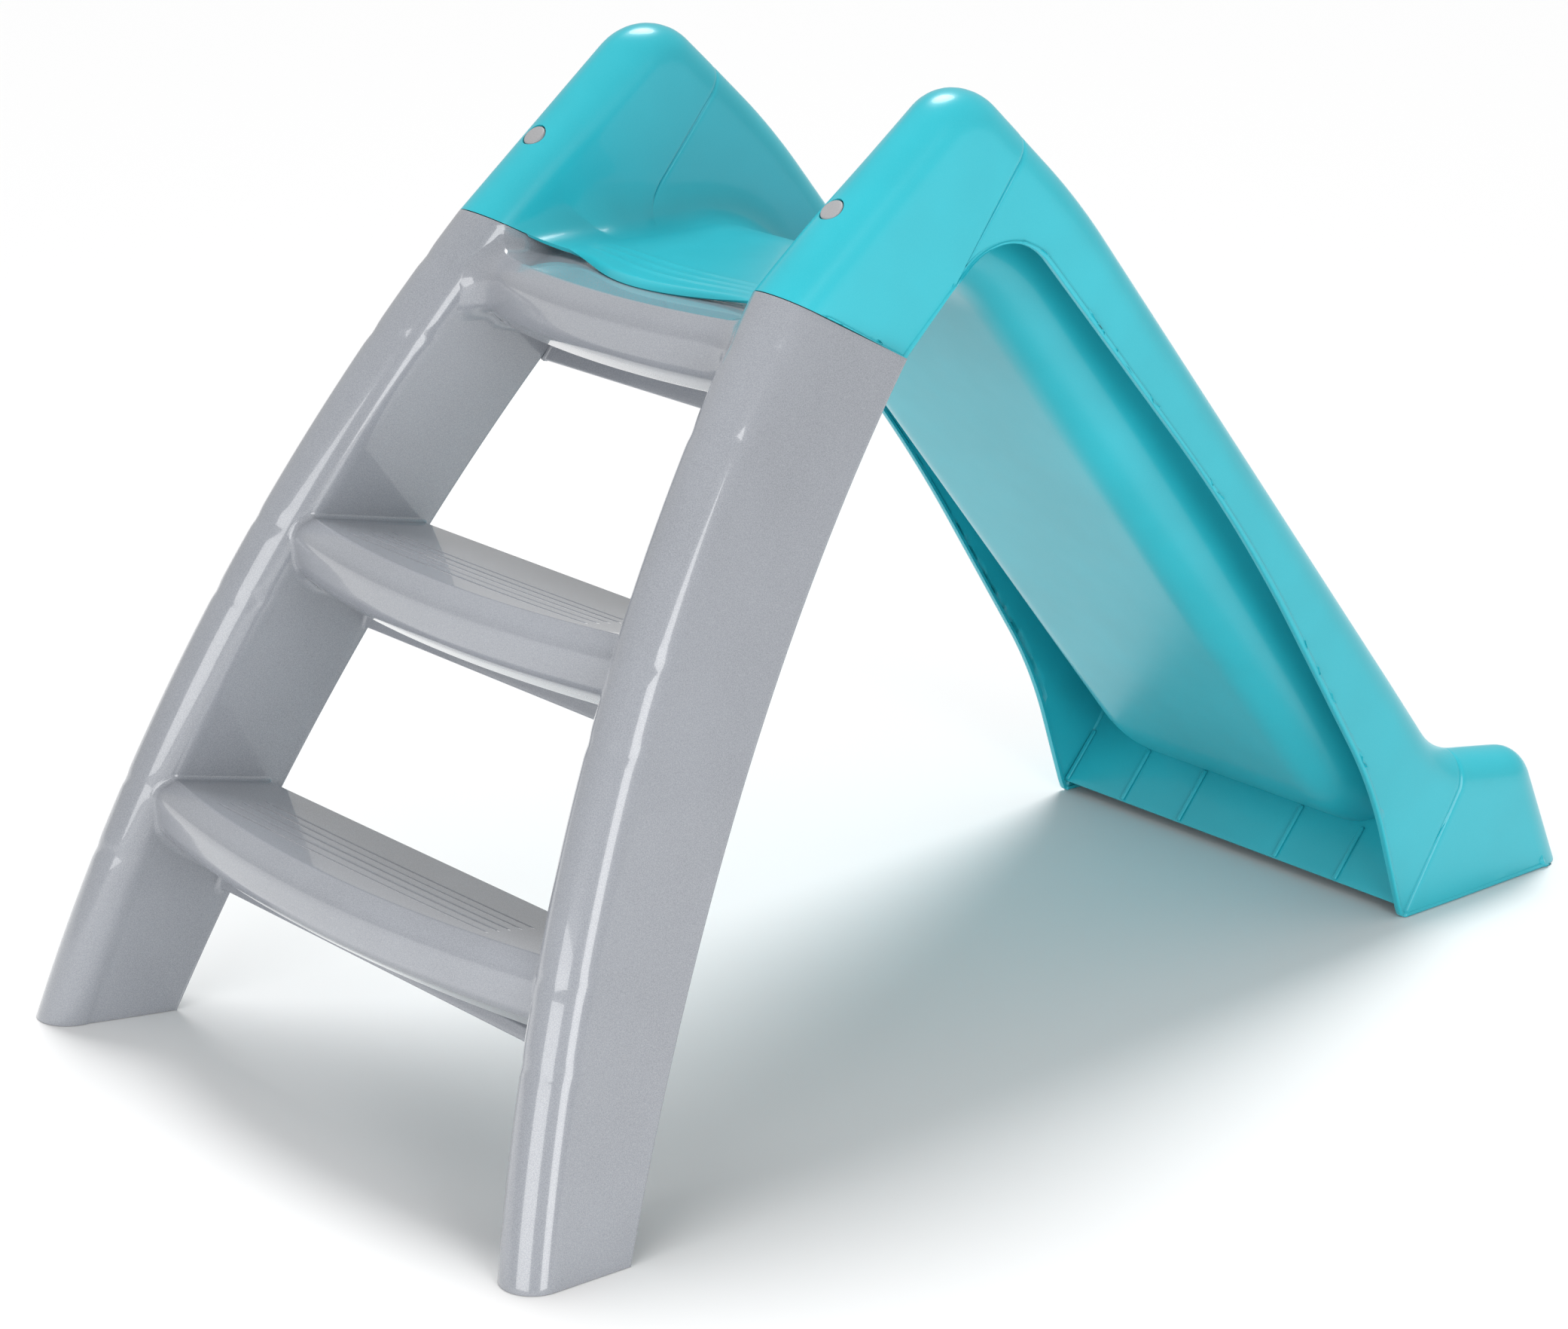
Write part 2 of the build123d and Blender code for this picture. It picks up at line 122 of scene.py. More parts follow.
class Outline:
    """A side-view line (y, z) measured by the length along it."""

    def __init__(self, corners, radii, arc_steps=40):
        raw = rounded(corners, radii, arc_steps)
        keep = np.r_[True, np.linalg.norm(np.diff(raw, axis=0), axis=1) > 1e-6]
        self.points = raw[keep]
        self.marks = np.r_[0, np.cumsum(np.linalg.norm(np.diff(self.points, axis=0), axis=1))]
        self.length = self.marks[-1]

    def at(self, s):
        """The points at these lengths along the line."""
        s = np.asarray(s, float)
        return np.stack([np.interp(s, self.marks, self.points[:, k]) for k in (0, 1)], -1)

    def inward(self, s):
        """Unit vector to the right of the way that the line runs: down, for a line drawn forward."""
        way = self.at(np.clip(s + 1.5, 0, self.length)) - self.at(np.clip(s - 1.5, 0, self.length))
        way /= np.linalg.norm(way, axis=-1, keepdims=True)
        return np.stack([way[..., 1], -way[..., 0]], -1)

    def near(self, y, z):
        """The length at which the line comes closest to a place."""
        s = np.linspace(0, self.length, 4000)
        return s[np.argmin(((self.at(s) - (y, z)) ** 2).sum(-1))]


print("a quarter turn has", len(rounded([(0, 0), (10, 0), (10, 10)], [5])), "points")

# %% [markdown]
# In Blender an object shows its data: a mesh, a lamp or a camera. Every piece here is made at the
# origin, unturned, with its place in its mesh, so these two helpers are all that it takes.

# %% Objects and meshes
def add_object(name, data):
    """A new object in the scene that shows this data."""
    made = bpy.data.objects.new(name, data)
    bpy.context.scene.collection.objects.link(made)
    return made


def add_mesh(name, points, faces, material):
    """A new object with a mesh of points in metres and one material."""
    mesh = bpy.data.meshes.new(name)
    mesh.from_pydata(points, [], faces)
    mesh.materials.append(material)
    return add_object(name, mesh)


# %% [markdown]
# A moulding is a skin of even thickness. So each piece starts as a grid of points, rows by columns,
# which becomes one sheet of four-sided faces. Solidify then gives the sheet its wall, always to the
# inside, and a tiny bevel takes the knife edge off the rim, as the mould does.

# %% Grids into shells
def grid_mesh(name, grid, outward, material, wall=WALL, rim=0.5):
    """A shell from a grid of points in mm; outward is the row and column of a face, and its way out."""
    rows, cols = grid.shape[:2]
    index = np.arange(rows * cols).reshape(rows, cols)
    quads = np.stack(
        [index[:-1, :-1], index[1:, :-1], index[1:, 1:], index[:-1, 1:]], -1
    ).reshape(-1, 4)
    piece = add_mesh(name, (grid.reshape(-1, 3) * 0.001).tolist(), quads.tolist(), material)
    r, c, look = outward
    a, b, d = grid[r, c], grid[r + 1, c], grid[r, c + 1]
    if np.dot(np.cross(b - a, d - a), look) < 0:
        piece.data.flip_normals()
    weld = piece.modifiers.new("weld", "WELD")
    weld.merge_threshold = 0.00002
    thick = piece.modifiers.new("wall", "SOLIDIFY")
    thick.thickness = wall * 0.001
    thick.offset = -1
    thick.use_even_offset = False
    thick.use_quality_normals = True
    if rim:
        soften = piece.modifiers.new("rim", "BEVEL")
        soften.width = rim * 0.001
        soften.segments = 2
        soften.limit_method = "ANGLE"
        soften.angle_limit = math.radians(50)
    return piece


def freeze(piece, smooth_angle=35):
    """Applies the modifiers, so that the piece is a plain mesh that stands on the floor, shaded smooth."""
    evaluated = piece.evaluated_get(bpy.context.evaluated_depsgraph_get())
    mesh = bpy.data.meshes.new_from_object(evaluated)
    mesh.name = piece.name
    places = np.empty(len(mesh.vertices) * 3)
    mesh.vertices.foreach_get("co", places)
    places[2::3] = np.clip(places[2::3], cad_low.z, cad_high.z)
    mesh.vertices.foreach_set("co", places)
    piece.modifiers.clear()
    piece.data = mesh
    bpy.context.view_layer.objects.active = piece
    with bpy.context.temp_override(object=piece, selected_editable_objects=[piece]):
        bpy.ops.object.shade_smooth_by_angle(angle=math.radians(smooth_angle))
    print(piece.name, len(mesh.polygons), "faces")
    return piece


print("walls", WALL, "mm thick")

# %% [markdown]
# The camera stands to the right of the ladder, a little above the top step, and looks across the
# slide with a long lens, so that parallel edges stay nearly parallel.

# %% Camera
AZIMUTH, ELEVATION = math.radians(50.78), math.radians(17.72)
back = Vector((
    math.sin(AZIMUTH) * math.cos(ELEVATION),
    -math.cos(AZIMUTH) * math.cos(ELEVATION),
    math.sin(ELEVATION),
))
camera_data = bpy.data.cameras.new("camera")
camera_data.lens = 102.12
camera_data.sensor_width = 36.0
camera = add_object("camera", camera_data)
camera.location = (2.6117, -2.2386, 1.3517)
camera.rotation_mode = "QUATERNION"
camera.rotation_quaternion = (-back).to_track_quat("-Z", "Y")
bpy.context.scene.camera = camera
print("camera", [round(v, 3) for v in camera.location])

# %% [markdown]
# The room is plain: a pale floor, a dim pale sky all round, and soft lamps. A wide sun from the
# back left keeps the floor white and lays one soft shadow towards the camera. A glossy moulding is
# drawn by what it mirrors, so a tall window lamp puts the long bright lines on the ladder's rails.

# %% Floor, sky and lamps
def plain_material(name, colour, roughness):
    """One even colour, as painted."""
    made = bpy.data.materials.new(name)
    made.use_nodes = True
    shader = made.node_tree.nodes["Principled BSDF"]
    shader.inputs["Base Color"].default_value = (*colour, 1)
    shader.inputs["Roughness"].default_value = roughness
    return made


FLOOR_REACH, FLOOR_GAP = 30.0, 0.0005
corners = [(x * FLOOR_REACH, y * FLOOR_REACH, 0) for x, y in ((-1, -1), (1, -1), (1, 1), (-1, 1))]
floor_paint = plain_material("floor_paint", (0.86, 0.86, 0.86), 0.9)
floor = add_mesh("floor", corners, [(0, 1, 2, 3)], floor_paint)
floor.location.z = cad_low.z - FLOOR_GAP

sky = bpy.data.worlds.new("sky")
sky.use_nodes = True
sky.node_tree.nodes["Background"].inputs["Color"].default_value = (1.0, 1.0, 1.0, 1)
sky.node_tree.nodes["Background"].inputs["Strength"].default_value = 0.52
bpy.context.scene.world = sky
bpy.context.scene.view_settings.view_transform = "Standard"


def lamp(name, place, target, size, power):
    """A soft rectangular lamp that looks at a target."""
    data = bpy.data.lights.new(name, "AREA")
    data.shape = "RECTANGLE"
    data.size, data.size_y = size
    data.energy = power
    made = add_object(name, data)
    made.location = place
    made.rotation_mode = "QUATERNION"
    made.rotation_quaternion = (Vector(target) - Vector(place)).to_track_quat("-Z", "Y")


sun_data = bpy.data.lights.new("sun", "SUN")
sun_data.energy = 2.15
sun_data.angle = math.radians(26)
sun = add_object("sun", sun_data)
sun.rotation_mode = "QUATERNION"
sun.rotation_quaternion = Vector((0.34, -0.36, -1.0)).to_track_quat("-Z", "Y")
lamp("window", place=(3.25, -0.95, 1.15), target=(0.25, -0.45, 0.3), size=(1.2, 2.2), power=37)
lamp("front", place=(1.1, -3.5, 1.0), target=(0, -0.2, 0.35), size=(2.4, 1.6), power=42)

# %% [markdown]
# Both mouldings are coloured right through and come out of a polished mould: a clear gloss over a
# body colour with very fine pearl flecks. The finish is built from noise in the piece's own space:
# flecks a third of a millimetre across, a slow cloudiness in the pigment, and a faint orange peel.

# %% Moulded plastic
CLOUD_SCALE, SHEEN_SCALE, PEEL_SCALE, FLECK_SCALE = 7.0, 40.0, 160.0, 1400.0


def moulded_plastic(name, body, fleck, fleck_share, roughness, coat):
    """Body colour with a share of flecks, under a clear coat."""
    made = bpy.data.materials.new(name)
    made.use_nodes = True
    nodes, links = made.node_tree.nodes, made.node_tree.links
    shader = nodes["Principled BSDF"]
    shader.inputs["Coat Weight"].default_value = coat
    shader.inputs["Coat Roughness"].default_value = 0.04
    place = nodes.new("ShaderNodeTexCoord")

    def noise(scale, detail, low, high, margin=0.35):
        """Noise stretched to run from low to high; a margin cuts off its rare ends."""
        made_noise = nodes.new("ShaderNodeTexNoise")
        made_noise.inputs["Scale"].default_value = scale
        made_noise.inputs["Detail"].default_value = detail
        links.new(place.outputs["Object"], made_noise.inputs["Vector"])
        span = nodes.new("ShaderNodeMapRange")
        span.inputs["From Min"].default_value = margin
        span.inputs["From Max"].default_value = 1 - margin
        span.inputs["To Min"].default_value = low
        span.inputs["To Max"].default_value = high
        links.new(made_noise.outputs["Fac"], span.inputs["Value"])
        return span.outputs["Result"]

    cloud = nodes.new("ShaderNodeMix")
    cloud.data_type = "RGBA"
    cloud.inputs["A"].default_value = (*[c * 0.94 for c in body], 1)
    cloud.inputs["B"].default_value = (*[min(c * 1.05, 1.0) for c in body], 1)
    links.new(noise(CLOUD_SCALE, 3.0, 0.0, 1.0), cloud.inputs["Factor"])
    flecks = nodes.new("ShaderNodeMix")
    flecks.data_type = "RGBA"
    links.new(cloud.outputs["Result"], flecks.inputs["A"])
    flecks.inputs["B"].default_value = (*fleck, 1)
    links.new(noise(FLECK_SCALE, 1.0, 0.0, fleck_share), flecks.inputs["Factor"])
    links.new(flecks.outputs["Result"], shader.inputs["Base Color"])
    sheen = noise(SHEEN_SCALE, 2.0, roughness * 0.9, roughness * 1.12, 0.0)
    links.new(sheen, shader.inputs["Roughness"])
    peel = nodes.new("ShaderNodeBump")
    peel.inputs["Strength"].default_value = 0.04
    peel.inputs["Distance"].default_value = 0.0004
    links.new(noise(PEEL_SCALE, 1.0, 0.0, 1.0, 0.0), peel.inputs["Height"])
    links.new(peel.outputs["Normal"], shader.inputs["Normal"])
    return made


ladder_plastic = moulded_plastic(
    "pearl_grey_plastic", body=(0.27, 0.285, 0.315), fleck=(0.52, 0.54, 0.58),
    fleck_share=0.30, roughness=0.22, coat=0.9,
)
chute_plastic = moulded_plastic(
    "turquoise_plastic", body=(0.02, 0.47, 0.56), fleck=(0.20, 0.70, 0.78),
    fleck_share=0.05, roughness=0.30, coat=0.2,
)
button_plastic = moulded_plastic(
    "satin_grey_plastic", body=(0.34, 0.34, 0.35), fleck=(0.55, 0.55, 0.56),
    fleck_share=0.2, roughness=0.5, coat=0.0,
)
print("finishes", ladder_plastic.name, chute_plastic.name, button_plastic.name)

# %% [markdown]
# ## The ladder's rails
# Each rail is a D-section channel, open at the back, swept up a gentle arc that lies in a plane
# leaning inwards. It could be lofted between a few sections. Here every line along the rail is worked
# out from the arc, and cut exactly where it meets the floor and the seam, so the rims come out clean.

# %% Rail surface
FULL_RISE = math.cos(NECK_SLOPE) - math.cos(RAIL_SLOPE)
INWARD = np.array([-math.cos(RAIL_LEAN), 0, -math.sin(RAIL_LEAN)])
UPWARD = np.array([-math.sin(RAIL_LEAN), 0, math.cos(RAIL_LEAN)])
FORWARD_Y = np.array([0.0, 1.0, 0.0])


def rail_size(slope):
    """Radius, depth and flare of the rail's section where it has this slope."""
    share = np.clip((np.cos(slope) - math.cos(RAIL_SLOPE)) / FULL_RISE, 0, 1)
    radius = FOOT_RADIUS + (NECK_RADIUS - FOOT_RADIUS) * share
    depth = NECK_DEPTH - (NECK_DEPTH - FOOT_DEPTH) * (1 - share) ** 2.5
    return radius, depth, FOOT_FLARE + (NECK_FLARE - FOOT_FLARE) * share


def rail_local(points):
    """Slope, inward distance and forward distance of points, as the rail sees them."""
    rel = points - RAIL_FOOT
    rise = rel @ UPWARD + RAIL_BOW * math.cos(RAIL_SLOPE)
    run = rel[..., 1] - RAIL_BOW * math.sin(RAIL_SLOPE)
    return np.arctan2(-run, rise), rel @ INWARD, np.hypot(rise, run) - RAIL_BOW


def rail_world(slope, inward, forward):
    """The point that has this slope, inward distance and forward distance."""
    reach = RAIL_BOW + forward
    rise = reach * np.cos(slope) - RAIL_BOW * math.cos(RAIL_SLOPE)
    run = RAIL_BOW * math.sin(RAIL_SLOPE) - reach * np.sin(slope)
    return (
        RAIL_FOOT
        + rise[..., None] * UPWARD
        + run[..., None] * FORWARD_Y
        + inward[..., None] * INWARD
    )


def rail_gap(points):
    """Distance outside the right rail's inner and front skin; negative is inside the rail."""
    slope, inward, forward = rail_local(points)
    radius, depth, flare = rail_size(slope)
    rounding = np.hypot(inward, np.maximum(forward, 0)) - radius
    side = inward - radius + np.minimum(forward, 0) * flare / depth
    return np.where(forward > 0, rounding, side)


def seam_height(points):
    """How far points are above the seam, measured square to it."""
    y, z = points[..., 1] - SEAM[0], points[..., 2] - SEAM[1]
    return y * math.sin(SEAM_SLOPE) + z * math.cos(SEAM_SLOPE)


print("rail meets the floor with slope", round(math.degrees(RAIL_SLOPE), 1))

# %% [markdown]
# A D-section is a half round front with two flat sides that flare towards the open back, where each
# edge is folded in by a small bead. The rail's surface is a row of such sections along the arc.

# %% Rail section and sweep
EDGE_BEAD, EDGE_NIP, SIDE_COLUMNS = 2.2, 1.5, 14


def rail_outline(radius, depth, flare):
    """The section, from the outer back edge round the front to the inner back edge."""
    turn = np.linspace(0, np.pi, 33)
    lip = np.linspace(0, np.pi / 2, 5)
    tucked = EDGE_BEAD * (1 - np.cos(lip)) + EDGE_NIP * (lip == lip[-1])
    folded = -depth + EDGE_BEAD * (1 - np.sin(lip))
    side = np.linspace(0.04, 0.96, SIDE_COLUMNS)
    inward = np.concatenate([
        -radius + tucked[::-1],
        np.full(SIDE_COLUMNS, -radius),
        -np.cos(turn) * radius,
        radius + flare * side,
        radius + flare - tucked,
    ])
    forward = np.concatenate([
        folded[::-1], -depth * side[::-1], np.sin(turn) * radius, -depth * side, folded,
    ])
    return inward, forward


def rail_grid(rows=150, sweep_steps=700):
    """Lines along the rail, swept past both ends and then cut at the floor and at the seam."""
    slopes = np.radians(np.linspace(80, 44, sweep_steps))
    lines = []
    for slope in slopes:
        inward, forward = rail_outline(*(float(v) for v in rail_size(slope)))
        lines.append(rail_world(np.full(len(inward), slope), inward, forward))
    lines = np.array(lines)
    grid = np.empty((rows, lines.shape[1], 3))
    order = np.arange(sweep_steps)
    for c in range(lines.shape[1]):
        column = lines[:, c]
        first = np.interp(0.0, column[:, 2], order)
        last = np.interp(0.0, seam_height(column), order)
        marks = np.linspace(first, last, rows)
        for k in range(3):
            grid[:, c, k] = np.interp(marks, order, column[:, k])
    return grid


plain_grid = rail_grid()
print("rail grid", plain_grid.shape)

# %% [markdown]
# Real rails show faint hollows where the steps' thick walls shrink as they cool, and the window's
# reflection kinks there, so the hollows are built in. At the top, the rim turns over and a lid closes
# the rail, because its end shows when the chute is lifted off.

# %% Rail shells
STEP_LEVELS = (204.0, 408.0, 604.0)
SINK_DEPTH, SINK_WIDTH, SINK_OFFSETS, SINK_FADE = 0.8, 5.0, (-6.0, -62.0), 12.0


def add_sink_marks(grid):
    """Slight hollows round the front where each step's walls meet the rail."""
    slope, inward, forward = rail_local(grid)
    front = np.clip(forward / SINK_FADE, 0, 1)
    hollow = np.zeros(grid.shape[:2])
    for level in STEP_LEVELS:
        for offset in SINK_OFFSETS:
            hollow += np.exp(-(((grid[..., 2] - level - offset) / SINK_WIDTH) ** 2))
    amount = SINK_DEPTH * hollow * front
    centre = rail_world(slope, np.zeros_like(inward), np.zeros_like(forward))
    away = grid - centre
    away /= np.maximum(np.linalg.norm(away, axis=-1, keepdims=True), 1e-9)
    return grid - away * amount[..., None]


def close_top(grid):
    """Turns the rim over and closes the top of the rail in the seam's plane."""
    edge = grid[-1]
    middle = (edge[:5].mean(0) + edge[-5:].mean(0) + 2 * edge[len(edge) // 2]) / 4
    rows = [edge + (middle - edge) * share for share in (0.03, 0.3, 0.7, 0.97)]
    return np.concatenate([grid, np.array(rows)])


def mirrored(grid):
    """The same points on the other side of the slide."""
    return grid * np.array([-1.0, 1.0, 1.0])


right_grid = close_top(add_sink_marks(plain_grid))
for side, grid in (("right", right_grid), ("left", mirrored(right_grid))):
    front = grid.shape[1] // 2
    rail = freeze(grid_mesh(f"{side}_rail_shell", grid, (60, front, (0, -1, 0.4)), ladder_plastic))
    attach(rail, "ladder")
    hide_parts(f"{side}_rail")

# %% [markdown]
# ## The steps
# A step is one skin: a tread that falls to the back, a bulging nosing that bows forward in the
# middle, then a set-back band and a lip under it. Its side view is the same outline all the way
# across, only the bow moves it. Long runs get more points where the grooves will need them.

# %% Step outline
STEPS = {
    "lower_step": dict(
        level=204.0, crease=-517.0, reach=275.0,
        back=(73.0, -16.0), band=(35.0, -85.0), ledge=(35.0, -92.0), lip=(31.5, -102.4),
    ),
    "middle_step": dict(
        level=408.0, crease=-407.0, reach=238.0,
        back=(91.5, -21.0), band=(48.5, -77.0), ledge=(43.5, -88.5), lip=(39.5, -101.5),
    ),
    "top_step": dict(
        level=604.0, crease=-252.0, reach=196.0,
        back=(48.0, -3.5), band=(50.0, -70.0), ledge=(45.0, -84.0), lip=(37.4, -97.2),
    ),
}
NOSE_BOW, BACK_BOW = 34.0, -12.0
TREAD_RUNS, EDGE_RUNS, ARC_RUNS, PLAIN_RUNS = 150, 14, 6, 3
GROOVE_ZONE = -11.0


def step_line(bow, size):
    """Side view of a step, from the tread's back edge to the lip, for one amount of bow."""
    (back_y, back_z), (band_y, band_z) = size["back"], size["band"]
    (ledge_y, ledge_z), (lip_y, lip_z) = size["ledge"], size["lip"]
    corners = [
        (back_y - 1.0, back_z - 8.0),
        (back_y, back_z),
        (-bow, 0.0),
        (-bow - 17.0, -9.0),
        (-bow - 14.0, -42.0),
        (-0.82 * bow + 4.0, -60.0),
        (band_y, band_z),
        (band_y + 4.0, band_z - 2.0),
        (ledge_y + 6.0, ledge_z + 1.0),
        (ledge_y, ledge_z),
        (lip_y, lip_z),
        (lip_y + 6.0, lip_z),
    ]
    radii = [2.0, 5.0, 16.0, 22.0, 14.0, 1.6, 1.5, 1.5, 1.6, 2.0]
    raw = rounded(corners, radii, ARC_RUNS)
    runs = [raw[:1]]
    for i in range(len(raw) - 1):
        straight = i % (ARC_RUNS + 1) == 0
        tread = i == ARC_RUNS + 1
        count = PLAIN_RUNS if straight else 1
        shares = np.arange(1, count + 1) / count
        if tread:
            split = max(GROOVE_ZONE, 0.85 * raw[i + 1][0])
            split = (split - raw[i][0]) / (raw[i + 1][0] - raw[i][0])
            even = np.linspace(0, split, TREAD_RUNS + 1)[1:]
            shares = np.r_[even, np.linspace(split, 1, EDGE_RUNS + 1)[1:]]
        runs.append(raw[i] + (raw[i + 1] - raw[i]) * shares[:, None])
    return np.concatenate(runs)


print("a step's outline has", len(step_line(NOSE_BOW, STEPS["middle_step"])), "points")

# %% [markdown]
# The bow is largest in the middle of the step and fades towards the rails. So a step's skin is a
# small table of outlines, one for each of a few bows, and it is read in between for any place across.

# %% Step skin
def step_skin(size):
    """A function giving the skin's points for an array of x (rows) and every point of the outline."""
    bows = np.linspace(BACK_BOW, NOSE_BOW, 24)
    table = np.array([step_line(bow, size) for bow in bows])

    def skin(x):
        bow = NOSE_BOW * (1 - (x / size["reach"]) ** 2)
        made = np.empty((*x.shape, 3))
        made[..., 0] = x
        for c in range(x.shape[1]):
            made[:, c, 1] = size["crease"] + np.interp(bow[:, c], bows, table[:, c, 0])
            made[:, c, 2] = size["level"] + np.interp(bow[:, c], bows, table[:, c, 1])
        return made

    return skin, table.shape[1]


def gradient(distance, points):
    """Unit direction in which a distance grows fastest."""
    made = np.empty_like(points)
    for k in range(3):
        shift = np.zeros(3)
        shift[k] = 0.2
        made[..., k] = distance(points + shift) - distance(points - shift)
    return made / np.maximum(np.linalg.norm(made, axis=-1, keepdims=True), 1e-9)


print("the nosing bows", NOSE_BOW, "mm forward in the middle")

# %% [markdown]
# At each end a step's skin turns into the rail with a round fillet. Intersecting two solids would
# leave a sharp line there instead. So each line of the outline is followed until it hits the rail,
# stopped a fillet's radius short, and bent round onto the rail by a quadratic curve. On the top step
# the curve is also cut where it reaches the seam, so that it ends flush with the chute.

# %% Step grid
ACROSS_ROWS, FILLET_ROWS = 91, 12


def meet_rail(skin, columns, reach):
    """Where each line of the skin runs into the right rail."""
    x = np.repeat(np.linspace(60.0, reach + 20.0, 220)[:, None], columns, 1)
    gap = rail_gap(skin(x))
    inside = gap < 0
    first = np.where(inside.any(0), inside.argmax(0), len(x) - 1)
    first = np.maximum(first, 1)
    c = np.arange(columns)
    g0, g1 = gap[first - 1, c], gap[first, c]
    share = np.clip(g0 / np.maximum(g0 - g1, 1e-6), 0, 1)
    return x[first - 1, c] + share * (x[first, c] - x[first - 1, c])


def step_grid(size, fillet):
    """Rows across the step; the last ones turn into the rail. fillet gives a radius per column."""
    skin, columns = step_skin(size)
    end = meet_rail(skin, columns, size["reach"])
    share = np.linspace(-1, 1, ACROSS_ROWS)[:, None]
    plain = skin(share * 0 + end[None, :])[0]
    way = np.gradient(plain[:, 1:], axis=0)
    way /= np.maximum(np.linalg.norm(way, axis=1, keepdims=True), 1e-9)
    outward = np.stack([np.zeros(columns), way[:, 1], -way[:, 0]], -1)
    slope, _, forward = rail_local(plain)
    radius = fillet(outward) * np.clip((forward + rail_size(slope)[1]) / 10.0, 0.08, 1.0)
    middle = skin(share * (end - radius)[None, :])
    corner = skin(end[None, :])[0]
    rail_out = gradient(rail_gap, corner)
    along = outward - (outward * rail_out).sum(-1, keepdims=True) * rail_out
    along /= np.maximum(np.linalg.norm(along, axis=-1, keepdims=True), 1e-9)
    landing = corner + along * radius[:, None]
    for _ in range(3):
        landing = landing - (rail_gap(landing)[:, None] + 0.12) * gradient(rail_gap, landing)
    start = middle[-1]

    def bend(t):
        return (1 - t) ** 2 * start + 2 * t * (1 - t) * corner + t**2 * landing

    marks = np.linspace(0, 1, 101)
    above = seam_height(bend(marks[:, None, None])) > 0
    cut = np.where(above.any(0), marks[above.argmax(0)], 1.0)
    turned = bend(np.linspace(0, 1, FILLET_ROWS + 1)[1:, None, None] * cut[:, None])
    return np.concatenate([mirrored(turned[::-1]), middle, turned])


def small_fillet(outward):
    """Tight on the tread and nosing, rounder on the underside and the lip."""
    return 4.5 + 3.5 * np.clip((-0.1 - outward[:, 2]) / 0.6, 0, 1)


def top_fillet(outward):
    """A wide sweep up to the seam on the top step, tight underneath."""
    sweep = np.clip((outward[:, 2] + 0.8) / 0.5, 0, 1)
    front = np.clip((0.9 - outward[:, 2]) / 0.9, 0, 1)
    return 7.0 + (18.0 + 10.0 * front) * sweep


middle_grid = step_grid(STEPS["middle_step"], small_fillet)
print("step grid", middle_grid.shape, "width", round(float(np.ptp(middle_grid[..., 0])), 1), "mm")

# %% [markdown]
# What repeats is made by Geometry Nodes. A tree is a recipe with named inputs, and a modifier cooks it
# on a piece. The modifier knows each input by its socket's identifier, not by its name, so the helper
# looks that up. Every tree here ends in the same two nodes.

# %% Helpers for node trees
def end_tree(tree, geometry, material):
    """Every tree ends by making its instances real and giving them a material."""
    nodes, links = tree.nodes, tree.links
    realize, paint = nodes.new("GeometryNodeRealizeInstances"), nodes.new("GeometryNodeSetMaterial")
    result = nodes.new("NodeGroupOutput")
    links.new(geometry, realize.inputs[0])
    links.new(realize.outputs[0], paint.inputs["Geometry"])
    links.new(material, paint.inputs["Material"])
    links.new(paint.outputs[0], result.inputs[0])


def add_tree(piece, tree, values, first=False):
    """Puts a tree on a piece, with its named inputs set before it is first evaluated."""
    modifier = piece.modifiers.new(tree.name, "NODES")
    modifier.node_group = tree
    sockets = {item.name: item.identifier for item in tree.interface.items_tree if item.in_out == "INPUT"}
    for label, value in values.items():
        modifier[sockets[label]] = value
    if first:
        piece.modifiers.move(len(piece.modifiers) - 1, 0)


print("helpers for node trees ready")

# %% [markdown]
# The anti-slip grooves repeat across the tread, so Geometry Nodes press them in: each point of the
# tread measures how far it is from the nearest groove line, and sinks if it is close. The pitch,
# width, depth and count are inputs, so the same tree serves both treads.

# %% Groove tree
TREAD_FACING, GROOVE_FADE = 0.93, 0.002


